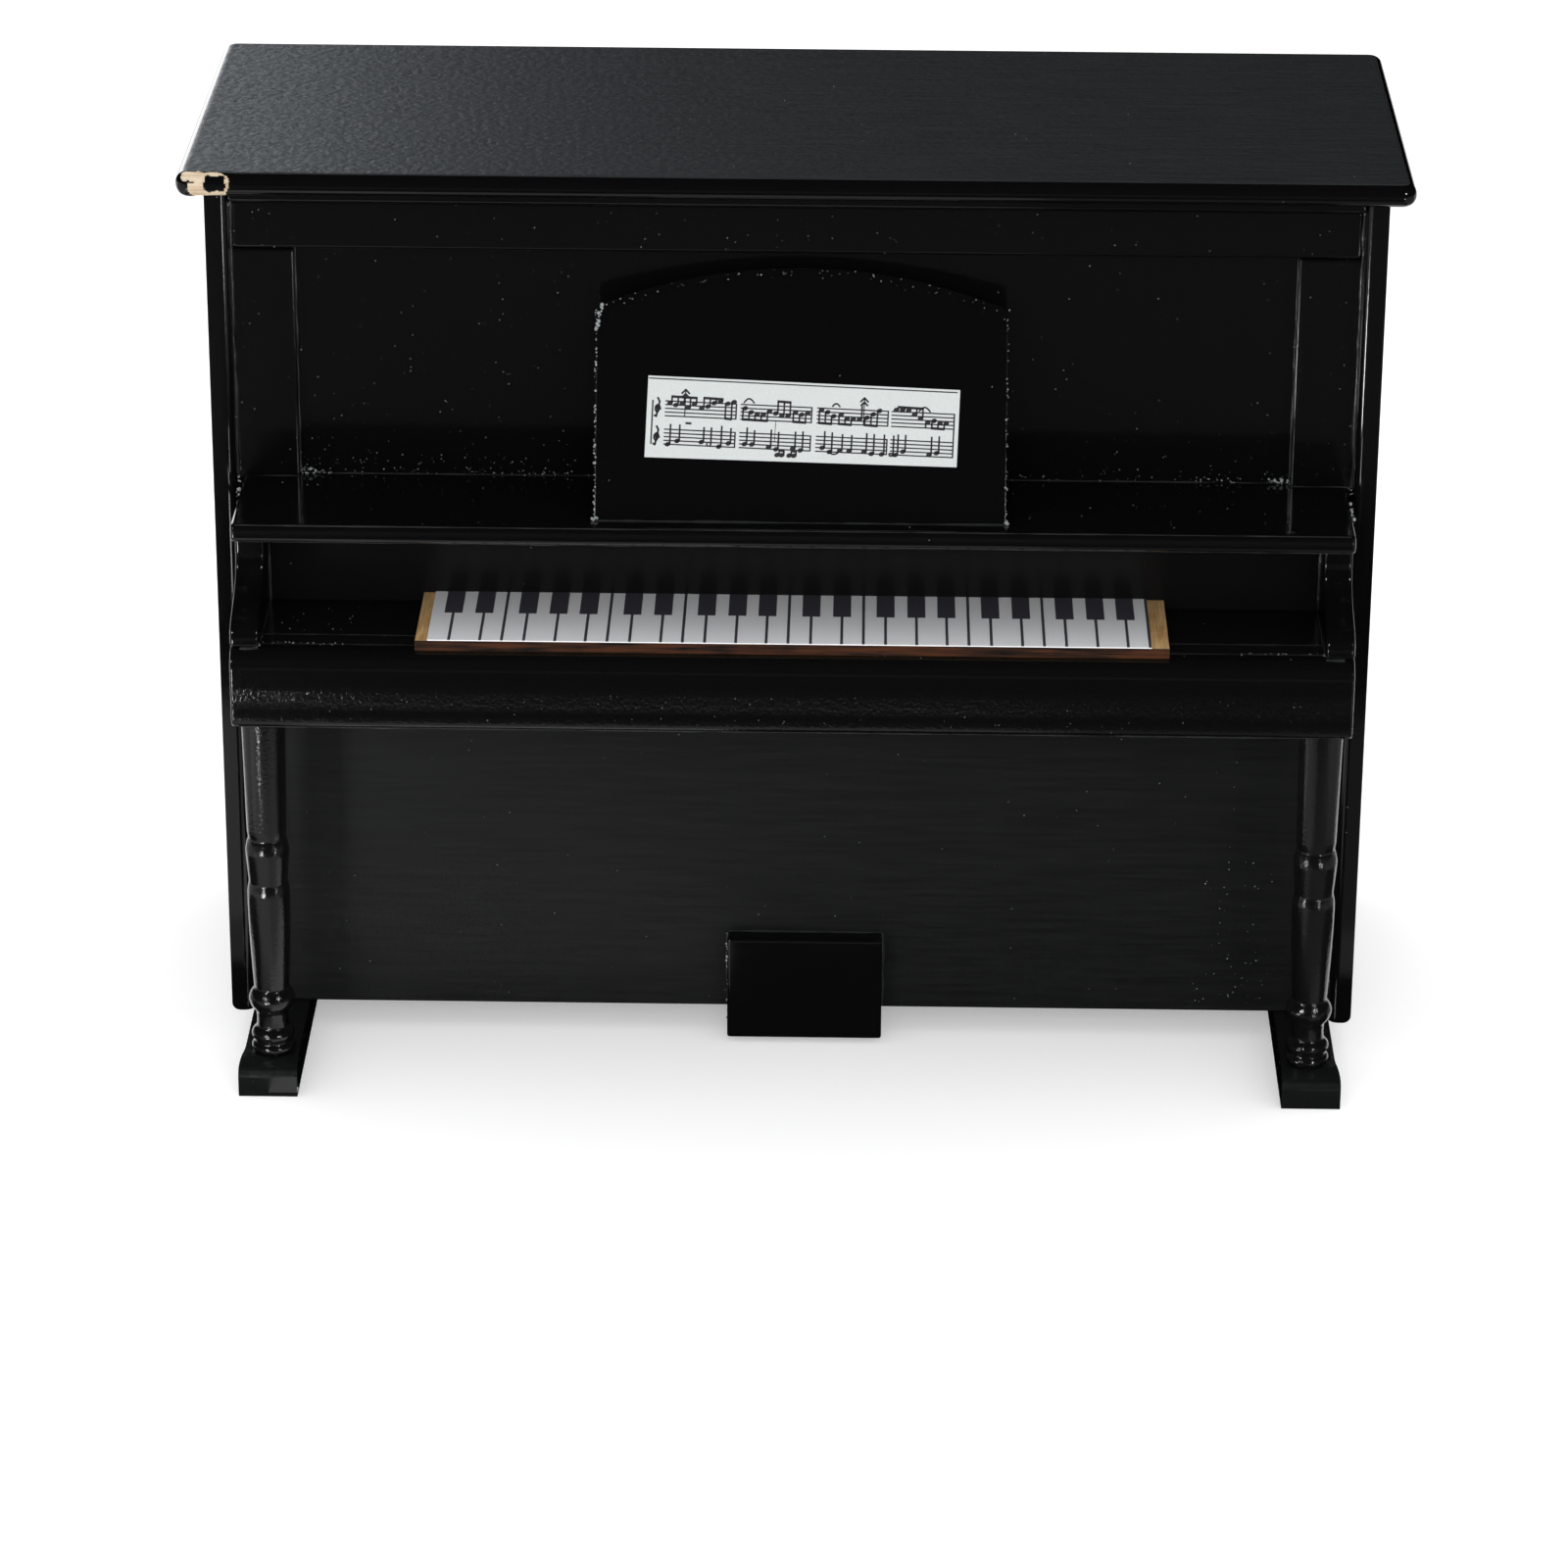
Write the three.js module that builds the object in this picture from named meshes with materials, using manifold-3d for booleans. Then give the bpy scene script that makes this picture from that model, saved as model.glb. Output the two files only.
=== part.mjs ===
// An upright piano for a dolls' house, at one twelfth of full size: a lacquered wooden case with a
// fixed music desk, a strip of printed paper keys, two turned legs and two runners under the case.
// Millimetres, +Z up. The player sits on the -Y side, +X is to the player's right, and the origin is
// at the centre of the base, on the surface that the piano stands on.

import * as THREE from 'three';
import { mergeVertices } from 'three/addons/utils/BufferGeometryUtils.js';
import Module from 'manifold-3d';

const wasm = await Module();
wasm.setup();

// Overall size
const width = 132;
const depth = 60.8;
const height = 103.6;
const frontY = -depth / 2;
const backY = depth / 2;

// The case: boards glued edge to edge between two sides, raised off the ground on the runners
const caseFrontY = frontY + 13.8;
const runnerHeight = 4;
const lidThickness = 2.6;
const lidUnderside = height - lidThickness;
const lidOverhang = 2.5;
const lidFrontCorner = 1.6;
const lidBackCorner = 2;
const lidEdgeFlat = 0.2;
const caseWidth = 126.7;
const sideThickness = 2.5;
const sideEdgeFlat = 0.1;
const innerHalf = caseWidth / 2 - sideThickness;
const panelFrontY = caseFrontY + 2.8;
const panelThickness = 2;
const panelBackY = panelFrontY + panelThickness;
const backThickness = 2;
const bottomThickness = 2.5;

// The frame glued round the recessed field of the upper panel
const frameThickness = 1;
const stileWidth = 6.8;
const railUnderside = 94;
const corniceUnderside = 99.6;
const corniceFrontY = caseFrontY + 0.2;
const corniceRadius = 0.6;

// The keyboard: a deep key bed with a rounded slip along its front, two cheeks and a shelf over them
const bedUnderside = 44.5;
const bedTop = 53.5;
const slipDepth = 2.5;
const slipTopRadius = 2.2;
const slipBottomRadius = 0.9;
const bedClearance = 0.1;
const bedHalf = innerHalf - bedClearance;
const shelfUnderside = 65.9;
const shelfTop = 68;
const shelfFrontY = frontY + 0.4;
const shelfHalf = 60.2;
const shelfRadius = 0.7;
const cheekThickness = 3.1;
const cheekTopFrontY = caseFrontY - 4.6;
const cheekFootFrontY = frontY + 1.2;
const cheekSweepTop = bedTop + 6.5;
const cheekFootTop = bedTop + 1.1;
const fallboardThickness = 1.5;
const fallboardFrontY = panelFrontY - fallboardThickness;

// The paper keys on their bare wooden strip
const keyStripHalf = 40.7;
const keyStripThickness = 1.2;
const keyStripFrontY = frontY + 0.9;
const keyPaperLeft = -39.4;
const keyPaperRight = 38.8;
const paperThickness = 0.12;

// The music desk leans on the upper panel, and its sheet is glued on a little askew
const deskX = 0.75;
const deskWidth = 44.2;
const deskHeight = 27.5;
const deskShoulder = 23.2;
const deskThickness = 2;
const deskLean = THREE.MathUtils.degToRad(25.3);
const deskFootY = frontY + 2.8;
const sheetWidth = 33.5;
const sheetHeight = 8.8;
const sheetUp = 10.7;
const sheetRight = 0.15;
const sheetTilt = THREE.MathUtils.degToRad(-2.1);
const gluedGap = 0.3;
const restGap = 0.05;

// The turned legs and the runners that they stand on
const legX = 57.7;
const legY = caseFrontY - 9.8;
const runnerX = 57.85;
const runnerWidth = 6.1;
const runnerBackY = backY - 2;
const noseHeight = 3;
const noseLength = 1.8;
const noseRadius = 0.5;
const runnerTopRadius = 0.6;

// The plain block under the case where the pedals would be
const pedalX = 1.5;
const pedalWidth = 17.5;
const pedalBottom = 0.7;
const pedalTop = 13.3;
const pedalThickness = 2;
const pedalBottomRadius = 0.7;
const pedalTopRadius = 0.4;

const curveSteps = 6;
const leg = {
  sides: 32,
  // [form, height, narrow radius, wide radius], from the foot up
  turning: [
    ['bead', 1.3, 2.05, 2.4],
    ['bead', 1.7, 1.95, 2.36],
    ['taper', 1.9, 1.76, 1.76],
    ['bead', 3.1, 1.85, 2.55],
    ['taper', 11.3, 1.98, 2.36],
    ['taper', 1.4, 2.36, 2.05],
    ['taper', 3.6, 2.1, 2.42],
    ['taper', 1.7, 2.42, 2.05],
    ['taper', 1.2, 2.05, 2.2],
    ['taper', 13.3, 2.2, 2.4],
  ],
};

const piano = new THREE.Group();

function add(name, geometry, material, parent = piano) {
  const mesh = new THREE.Mesh(geometry, material);
  mesh.name = name;
  parent.add(mesh);
  return mesh;
}

function lacquer() {
  return new THREE.MeshStandardMaterial({ color: 0x0c0c0d, roughness: 0.18, metalness: 0 });
}

function bareWood() {
  return new THREE.MeshStandardMaterial({ color: 0xc79a5b, roughness: 0.7, metalness: 0 });
}

function printedPaper(color) {
  return new THREE.MeshStandardMaterial({ color, roughness: 0.45, metalness: 0 });
}

// A plain board between two corners
function board([x0, x1], [y0, y1], [z0, z1]) {
  const geometry = new THREE.BoxGeometry(x1 - x0, y1 - y0, z1 - z0);
  return geometry.translate((x0 + x1) / 2, (y0 + y1) / 2, (z0 + z1) / 2);
}

function towards(from, to, distance) {
  return from.clone().add(to.clone().sub(from).setLength(distance));
}

// A closed outline through corners [u, v, radius]; a corner with no radius stays sharp
function outline(corners) {
  const points = corners.map(([u, v]) => new THREE.Vector2(u, v));
  const shape = new THREE.Shape();
  corners.forEach(([u, v, radius = 0], i) => {
    const start = radius ? towards(points[i], points.at(i - 1), radius) : points[i];
    if (i === 0) {
      shape.moveTo(start.x, start.y);
    } else {
      shape.lineTo(start.x, start.y);
    }
    if (radius) {
      const end = towards(points[i], points[(i + 1) % points.length], radius);
      shape.quadraticCurveTo(u, v, end.x, end.y);
    }
  });
  shape.closePath();
  return shape;
}

// A moulding: an outline in (Y, Z) run along X
function alongX(shape, x0, x1) {
  const geometry = new THREE.ExtrudeGeometry(shape, {
    depth: x1 - x0,
    bevelEnabled: false,
    curveSegments: curveSteps,
  });
  const xAxis = new THREE.Vector3(1, 0, 0);
  const yAxis = new THREE.Vector3(0, 1, 0);
  const zAxis = new THREE.Vector3(0, 0, 1);
  geometry.applyMatrix4(new THREE.Matrix4().makeBasis(yAxis, zAxis, xAxis));
  return geometry.translate(x0, 0, 0);
}

// A post: an outline in (X, Y) run up Z
function alongZ(shape, z0, z1) {
  const geometry = new THREE.ExtrudeGeometry(shape, {
    depth: z1 - z0,
    bevelEnabled: false,
    curveSegments: curveSteps,
  });
  return geometry.translate(0, 0, z0);
}

function toSolid(geometry) {
  const bare = geometry.clone();
  bare.deleteAttribute('normal');
  bare.deleteAttribute('uv');
  const merged = mergeVertices(bare);
  return new wasm.Manifold(new wasm.Mesh({
    numProp: 3,
    vertProperties: new Float32Array(merged.attributes.position.array),
    triVerts: new Uint32Array(merged.index.array),
  }));
}

// The part of one closed geometry that lies inside another
function keepInside(geometry, limit) {
  const mesh = toSolid(geometry).intersect(toSolid(limit)).getMesh();
  const kept = new THREE.BufferGeometry();
  kept.setAttribute('position', new THREE.BufferAttribute(mesh.vertProperties, 3));
  kept.setIndex(new THREE.BufferAttribute(mesh.triVerts, 1));
  kept.computeVertexNormals();
  return kept;
}

// The lid is half-round along its front and sides, and sawn off flat along its back
function addLid() {
  const lidNoseRadius = (lidThickness - lidEdgeFlat) / 2;
  const beyondBack = backY + lidNoseRadius * 2;
  const lidFrontY = caseFrontY - lidOverhang;
  const plan = outline([
    [-width / 2, lidFrontY, lidFrontCorner],
    [width / 2, lidFrontY, lidFrontCorner],
    [width / 2, beyondBack, lidBackCorner],
    [-width / 2, beyondBack, lidBackCorner],
  ]);
  const slab = new THREE.ExtrudeGeometry(plan, {
    depth: lidThickness - 2 * lidNoseRadius,
    bevelThickness: lidNoseRadius,
    bevelSize: lidNoseRadius,
    bevelOffset: -lidNoseRadius,
    bevelSegments: curveSteps,
    curveSegments: curveSteps,
  });
  slab.translate(0, 0, lidUnderside + lidNoseRadius);
  const sawn = board([-width, width], [lidFrontY - 1, backY], [0, height + 1]);
  add('top_board', keepInside(slab, sawn), lacquer());
}

function addSide(name, side) {
  const outer = side * caseWidth / 2;
  const inner = side * innerHalf;
  const edgeRadius = (sideThickness - sideEdgeFlat) / 2;
  const [x0, x1] = [Math.min(outer, inner), Math.max(outer, inner)];
  const plan = outline([
    [x0, caseFrontY, edgeRadius],
    [x1, caseFrontY, edgeRadius],
    [x1, backY],
    [x0, backY],
  ]);
  add(name, alongZ(plan, runnerHeight, lidUnderside), lacquer());
}

function addCase() {
  const across = [-innerHalf, innerHalf];
  const inside = [panelBackY, backY - backThickness];
  const bottomTop = runnerHeight + bottomThickness;
  addLid();
  addSide('left_side_panel', -1);
  addSide('right_side_panel', 1);
  add('back_panel', board(across, [inside[1], backY], [runnerHeight, lidUnderside]), lacquer());
  add('bottom_board', board(across, inside, [runnerHeight, bottomTop]), lacquer());
  add('lower_front_panel', board(across, [panelFrontY, panelBackY], [runnerHeight, bedUnderside]),
    lacquer());
  add('upper_front_panel', board(across, [panelFrontY, panelBackY], [bedTop, lidUnderside]),
    lacquer());
}

function addUpperFrame() {
  const frame = [panelFrontY - frameThickness, panelFrontY];
  const stileInner = innerHalf - stileWidth;
  add('top_rail', board([-innerHalf, innerHalf], frame, [railUnderside, corniceUnderside]),
    lacquer());
  add('left_stile', board([-innerHalf, -stileInner], frame, [shelfTop, railUnderside]), lacquer());
  add('right_stile', board([stileInner, innerHalf], frame, [shelfTop, railUnderside]), lacquer());
  const cornice = outline([
    [corniceFrontY, corniceUnderside, corniceRadius],
    [panelFrontY, corniceUnderside],
    [panelFrontY, lidUnderside],
    [corniceFrontY, lidUnderside],
  ]);
  add('cornice_strip', alongX(cornice, -innerHalf, innerHalf), lacquer());
}

function addKeyBed() {
  const slipBackY = frontY + slipDepth;
  const bedDepth = [slipBackY, panelBackY];
  add('key_bed', board([-bedHalf, bedHalf], bedDepth, [bedUnderside, bedTop]), lacquer());
  const slip = outline([
    [frontY, bedUnderside, slipBottomRadius],
    [slipBackY, bedUnderside],
    [slipBackY, bedTop],
    [frontY, bedTop, slipTopRadius],
  ]);
  add('key_slip', alongX(slip, -bedHalf, bedHalf), lacquer());
}

// A cheek drops straight under the shelf and then sweeps forward to its foot on the key bed
function addCheek(name, side) {
  const shape = new THREE.Shape();
  shape.moveTo(panelFrontY, bedTop);
  shape.lineTo(panelFrontY, shelfUnderside);
  shape.lineTo(cheekTopFrontY, shelfUnderside);
  shape.lineTo(cheekTopFrontY - 0.3, cheekSweepTop);
  shape.bezierCurveTo(
    cheekTopFrontY - 0.5, cheekSweepTop - 4,
    cheekFootFrontY + 0.3, cheekSweepTop - 3,
    cheekFootFrontY, cheekFootTop,
  );
  shape.lineTo(cheekFootFrontY, bedTop);
  shape.closePath();
  const x0 = side < 0 ? -bedHalf : bedHalf - cheekThickness;
  add(name, alongX(shape, x0, x0 + cheekThickness), lacquer());
}

function addKeyboard() {
  const betweenCheeks = bedHalf - cheekThickness;
  const stripTop = bedTop + keyStripThickness;
  const shelf = outline([
    [shelfFrontY, shelfUnderside, shelfRadius],
    [panelFrontY, shelfUnderside],
    [panelFrontY, shelfTop],
    [shelfFrontY, shelfTop, shelfRadius],
  ]);
  addKeyBed();
  addCheek('left_key_cheek', -1);
  addCheek('right_key_cheek', 1);
  add('keyboard_shelf', alongX(shelf, -shelfHalf, shelfHalf), lacquer());
  add('fallboard', board([-betweenCheeks, betweenCheeks], [fallboardFrontY, panelFrontY],
    [bedTop, shelfUnderside]), lacquer());
  add('key_strip', board([-keyStripHalf, keyStripHalf], [keyStripFrontY, fallboardFrontY],
    [bedTop, stripTop]), bareWood());
  add('keyboard_paper', board([keyPaperLeft, keyPaperRight], [keyStripFrontY, fallboardFrontY],
    [stripTop, stripTop + paperThickness]), printedPaper(0xe9eaec));
}

// The desk's own frame has Y up its slope and Z out of its face. Its foot is cut level with the shelf.
function addMusicDesk() {
  const desk = new THREE.Group();
  desk.position.set(deskX, deskFootY, shelfTop + restGap);
  desk.rotation.x = Math.PI / 2 - deskLean;
  piano.add(desk);

  const half = deskWidth / 2;
  const rise = deskHeight - deskShoulder;
  const archRadius = (half * half + rise * rise) / (2 * rise);
  const halfAngle = Math.asin(half / archRadius);
  const shape = new THREE.Shape();
  shape.moveTo(-half, 0);
  shape.lineTo(half, 0);
  shape.lineTo(half, deskShoulder);
  shape.absarc(0, deskHeight - archRadius, archRadius, Math.PI / 2 - halfAngle,
    Math.PI / 2 + halfAngle, false);
  shape.lineTo(-half, 0);
  const geometry = new THREE.ExtrudeGeometry(shape, {
    depth: deskThickness,
    bevelEnabled: false,
    curveSegments: 24,
  });
  geometry.translate(0, 0, -deskThickness);
  const position = geometry.attributes.position;
  for (let i = 0; i < position.count; i++) {
    if (position.getY(i) === 0 && position.getZ(i) < -deskThickness / 2) {
      position.setY(i, deskThickness * Math.tan(deskLean));
    }
  }
  add('music_desk', geometry, lacquer(), desk);

  const sheet = new THREE.BoxGeometry(sheetWidth, sheetHeight, paperThickness);
  const label = add('music_sheet', sheet, printedPaper(0xe6e9ea), desk);
  label.position.set(sheetRight, sheetUp, gluedGap + paperThickness / 2);
  label.rotation.z = sheetTilt;
}

// The leg's outline, from the axis at its foot to the axis at its top
function legProfile() {
  const points = [new THREE.Vector2(0, 0)];
  let z = 0;
  for (const [form, length, narrow, wide] of leg.turning) {
    const steps = form === 'bead' ? curveSteps : 1;
    for (let i = 0; i <= steps; i++) {
      const t = i / steps;
      const swell = form === 'bead' ? Math.sin(Math.PI * t) : t;
      const point = new THREE.Vector2(narrow + (wide - narrow) * swell, z + length * t);
      if (point.distanceTo(points.at(-1)) > 0.001) {
        points.push(point);
      }
    }
    z += length;
  }
  points.push(new THREE.Vector2(0, z));
  return points;
}

function addLeg(name, side) {
  const geometry = new THREE.LatheGeometry(legProfile(), leg.sides);
  geometry.rotateX(Math.PI / 2);
  const mesh = add(name, geometry, lacquer());
  mesh.position.set(side * legX, legY, runnerHeight);
}

function addRunner(name, side) {
  const shape = outline([
    [frontY, 0],
    [runnerBackY, 0],
    [runnerBackY, runnerHeight],
    [frontY + noseLength, runnerHeight, runnerTopRadius],
    [frontY, noseHeight, noseRadius],
  ]);
  const x0 = side * runnerX - runnerWidth / 2;
  add(name, alongX(shape, x0, x0 + runnerWidth), lacquer());
}

function addPedalBlock() {
  const faceY = panelFrontY - pedalThickness;
  const shape = outline([
    [faceY, pedalBottom, pedalBottomRadius],
    [panelFrontY, pedalBottom],
    [panelFrontY, pedalTop],
    [faceY, pedalTop, pedalTopRadius],
  ]);
  add('pedal_block', alongX(shape, pedalX - pedalWidth / 2, pedalX + pedalWidth / 2), lacquer());
}

addCase();
addUpperFrame();
addKeyboard();
addMusicDesk();
addLeg('left_leg', -1);
addLeg('right_leg', 1);
addRunner('left_runner', -1);
addRunner('right_runner', 1);
addPedalBlock();

export default piano;
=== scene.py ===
# %% [markdown]
# # A dolls' house upright piano in black lacquer
# The piano is a little box of thin boards, glued together, sprayed black in one go and then dressed with
# two paper prints: the keys and the music. What makes it look real is not its outline, which is simple,
# but the paint. It is a mirror on the panels, a soft sheen on the lid, and it gathers in every seam and
# corner. This lesson first loads the measured model, which fixes every size and place, and then builds
# each board again with the soft edges and paint runs of the real one.

# %% Load the measured model
import bmesh
import bpy
import math
import random
from mathutils import Matrix, Vector, noise


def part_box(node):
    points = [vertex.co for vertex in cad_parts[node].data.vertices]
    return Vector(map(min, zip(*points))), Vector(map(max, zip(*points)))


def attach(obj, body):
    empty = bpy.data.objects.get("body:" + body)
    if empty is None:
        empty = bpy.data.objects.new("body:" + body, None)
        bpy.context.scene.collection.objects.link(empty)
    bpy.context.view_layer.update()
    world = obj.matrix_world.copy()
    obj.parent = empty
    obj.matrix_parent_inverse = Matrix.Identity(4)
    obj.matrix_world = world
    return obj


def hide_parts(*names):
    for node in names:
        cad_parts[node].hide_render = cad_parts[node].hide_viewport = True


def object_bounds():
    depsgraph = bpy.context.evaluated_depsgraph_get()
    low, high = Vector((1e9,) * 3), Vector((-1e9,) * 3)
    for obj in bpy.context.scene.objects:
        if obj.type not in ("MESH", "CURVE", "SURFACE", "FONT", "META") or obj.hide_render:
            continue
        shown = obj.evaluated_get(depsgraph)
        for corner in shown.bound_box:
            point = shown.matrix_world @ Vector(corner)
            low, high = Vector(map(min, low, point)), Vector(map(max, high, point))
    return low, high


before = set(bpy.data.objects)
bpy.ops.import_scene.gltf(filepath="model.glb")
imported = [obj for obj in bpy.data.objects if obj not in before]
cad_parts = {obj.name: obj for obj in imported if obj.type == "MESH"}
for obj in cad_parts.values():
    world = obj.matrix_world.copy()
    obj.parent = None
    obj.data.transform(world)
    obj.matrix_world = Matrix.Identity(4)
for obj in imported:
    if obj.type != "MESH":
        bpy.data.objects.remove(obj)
measured_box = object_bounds()
print("pieces in the measured model:", len(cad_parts))

# %% [markdown]
# ## Units
# Blender works in metres and a miniature is thought of in millimetres, so every size below is written
# in millimetres and multiplied by MM where it is used.

# %% Units
MM = 0.001


def at(x, y, z):
    """A place given in millimetres, as a vector in metres."""
    return Vector((x, y, z)) * MM


size = (measured_box[1] - measured_box[0]) / MM
print("overall size in mm:", [round(n, 1) for n in size])

# %% [markdown]
# ## Camera
# A long lens a little over half a metre away keeps the uprights nearly parallel. The camera looks down
# by 23.5 degrees, which shows the lid, the face and the keys together. Its three directions are worked
# out from the yaw, the pitch and a trace of roll.

# %% Camera
camera_data = bpy.data.cameras.new("product_camera")
camera_data.lens = 133.87
camera_data.sensor_width = 36
camera_data.clip_start = 0.01
camera_data.clip_end = 50
camera = bpy.data.objects.new("product_camera", camera_data)
bpy.context.scene.collection.objects.link(camera)
bpy.context.scene.camera = camera

CAMERA_PLACE = at(7.334, -611.914, 291.681)
yaw, pitch, roll = (math.radians(angle) for angle in (-0.795, 23.508, 0.34))
forward = Vector((math.sin(yaw) * math.cos(pitch), math.cos(yaw) * math.cos(pitch), -math.sin(pitch)))
level_right = Vector((math.cos(yaw), -math.sin(yaw), 0))
level_up = level_right.cross(forward)
right = level_right * math.cos(roll) + level_up * math.sin(roll)
up = level_up * math.cos(roll) - level_right * math.sin(roll)
camera.matrix_world = Matrix.LocRotScale(
    CAMERA_PLACE, Matrix((right, up, -forward)).transposed(), None)
print("camera is", round(camera.location.length / MM), "mm from the piano's foot")

# %% [markdown]
# ## Floor and daylight
# A pale floor and a white sky light the papers and the wood evenly. Black lacquer hardly answers to that
# light: what shows on it is what it mirrors. If it mirrored the white floor it would look grey, so the
# floor and the sky are hidden from reflections, and the next cell says what the lacquer sees instead.

# %% Floor and daylight
def linear(hex_colour):
    """An sRGB hex colour such as "#c79a5b" as linear red, green, blue and alpha."""
    channels = [int(hex_colour[i:i + 2], 16) / 255 for i in (1, 3, 5)]
    return [c / 12.92 if c <= 0.04045 else ((c + 0.055) / 1.055) ** 2.4 for c in channels] + [1.0]


def add_node(tree, kind, settings=None, inputs=None):
    """Adds one node, sets its properties, and gives each named or numbered input a value or a link."""
    made = tree.nodes.new(kind)
    for name, value in (settings or {}).items():
        setattr(made, name, value)
    for name, value in (inputs or {}).items():
        if isinstance(value, bpy.types.NodeSocket):
            tree.links.new(value, made.inputs[name])
        else:
            made.inputs[name].default_value = value
    return made


def new_finish(name):
    """A node material with an empty tree, its output, and a Principled shader joined to it."""
    finish = bpy.data.materials.new(name)
    finish.use_nodes = True
    tree = finish.node_tree
    tree.nodes.clear()
    shader = add_node(tree, "ShaderNodeBsdfPrincipled")
    add_node(tree, "ShaderNodeOutputMaterial", inputs={"Surface": shader.outputs["BSDF"]})
    return finish, tree, shader


def shader_of(finish):
    """The Principled shader of a finish that new_finish made."""
    return next(item for item in finish.node_tree.nodes if item.type == "BSDF_PRINCIPLED")


sky = bpy.data.worlds.new("white_studio")
bpy.context.scene.world = sky
sky.use_nodes = True
sky.node_tree.nodes["Background"].inputs["Color"].default_value = linear("#ffffff")
sky.node_tree.nodes["Background"].inputs["Strength"].default_value = 1.0
sky.cycles_visibility.glossy = False
bpy.context.scene.view_settings.view_transform = "Standard"

FLOOR_HALF_WIDTH = 6  # metres
floor_bm = bmesh.new()
bmesh.ops.create_grid(floor_bm, x_segments=2, y_segments=2, size=FLOOR_HALF_WIDTH)
floor_mesh = bpy.data.meshes.new("studio_floor")
floor_bm.to_mesh(floor_mesh)
floor_bm.free()
floor = bpy.data.objects.new("studio_floor", floor_mesh)
bpy.context.scene.collection.objects.link(floor)
floor.visible_glossy = False

floor_finish, tree, shader = new_finish("matt_white_floor_paper")
shader.inputs["Base Color"].default_value = linear("#f6f6f6")
shader.inputs["Roughness"].default_value = 0.9
shader.inputs["Emission Color"].default_value = linear("#ffffff")
shader.inputs["Emission Strength"].default_value = 0.34
floor_mesh.materials.append(floor_finish)
print("floor is", floor.dimensions.x, "m across")

# %% [markdown]
# ## What the lacquer sees
# Each card below is a soft light that only reflections see. A large one behind and to the left greys the
# lid. Cards lying on the floor to the sides and behind draw the bright lines down the legs and the case.
# Three more in front shade the lower panel from left to right, and shorter ones light the toes and the
# foot of the panel, while the floor further off is nearly dark and leaves the upper panels black. Two
# small hard lamps stand on either side of the camera and put points of light on the balls of the legs
# and a glint on each bead of paint. Two weaker ones stand on the floor, where only wrinkles and creases
# can turn them towards the camera. One last light does the opposite: it fills the keyboard's recess and
# shows in no reflection. A card's power comes from how bright it should look, which is easier to judge
# than watts.

# %% Reflection cards, lamps and the fill
def soft_card(name, place, target, width, height, brightness, tint="#ffffff"):
    """A flat light that only reflections see; brightness 1 looks pure white."""
    data = bpy.data.lights.new(name, "AREA")
    data.shape = "RECTANGLE"
    data.size, data.size_y = width * MM, height * MM
    data.energy = brightness * math.pi * data.size * data.size_y
    data.color = linear(tint)[:3]
    card = bpy.data.objects.new(name, data)
    bpy.context.scene.collection.objects.link(card)
    turn = (at(*target) - at(*place)).to_track_quat("-Z", "Y")
    card.matrix_world = Matrix.LocRotScale(at(*place), turn, None)
    card.visible_camera = False
    card.visible_diffuse = False
    return card


def floor_card(name, x, y, width, depth, brightness):
    """A card lying on the floor and facing up."""
    lift = 0.5
    return soft_card(name, (x, y, lift), (x, y, lift + 100), width, depth, brightness)


# places and sizes in mm
LAMP_WIDTH = 70
LOW_LAMP_WIDTH = 20
soft_card("lid_card", (-330, 700, 330), (-30, 0, 104), 420, 260, 2.0, "#eef6ff")
soft_card("lid_nose_card", (-350, 700, 150), (-66, 0, 104), 260, 300, 2.6)
floor_card("back_floor_card", 0, 420, 1400, 700, 0.9)
for side, name, wide_level, rim_level in ((-1, "left", 0.45, 1.3), (1, "right", 0.26, 1.1)):
    floor_card(name + "_floor_card", side * 470, -60, 700, 700, wide_level)
    floor_card(name + "_rim_card", side * 91.5, 87, 57, 166, rim_level)
    floor_card(name + "_foot_rim_card", side * 76.5, -8, 27, 24, rim_level)
    floor_card(name + "_toe_floor_card", side * 69, -43, 22, 12, 0.3)
for x, width, brightness in ((-100, 100, 0.56), (-10, 80, 0.42), (90, 120, 0.14)):
    floor_card("near_floor_card", x, -82, width, 66, brightness)
floor_card("panel_floor_card", -33, -39, 50, 20, 0.9)
floor_card("far_floor_card", 0, -520, 900, 640, 0.06)
soft_card("left_lamp", (-430, -614, 380), (0, 0, 50), LAMP_WIDTH, LAMP_WIDTH, 110)
soft_card("right_lamp", (430, -614, 380), (0, 0, 50), LAMP_WIDTH, LAMP_WIDTH, 70)
soft_card("left_low_lamp", (-115, -160, 2), (-57, -26, 25), LOW_LAMP_WIDTH, LOW_LAMP_WIDTH, 60)
soft_card("right_low_lamp", (150, -230, 2), (57, -26, 25), LOW_LAMP_WIDTH, LOW_LAMP_WIDTH, 30)
fill = soft_card("recess_fill", (0, -700, 300), (0, 0, 55), 500, 300, 3.0)
fill.visible_diffuse = True
fill.visible_glossy = False
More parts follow.
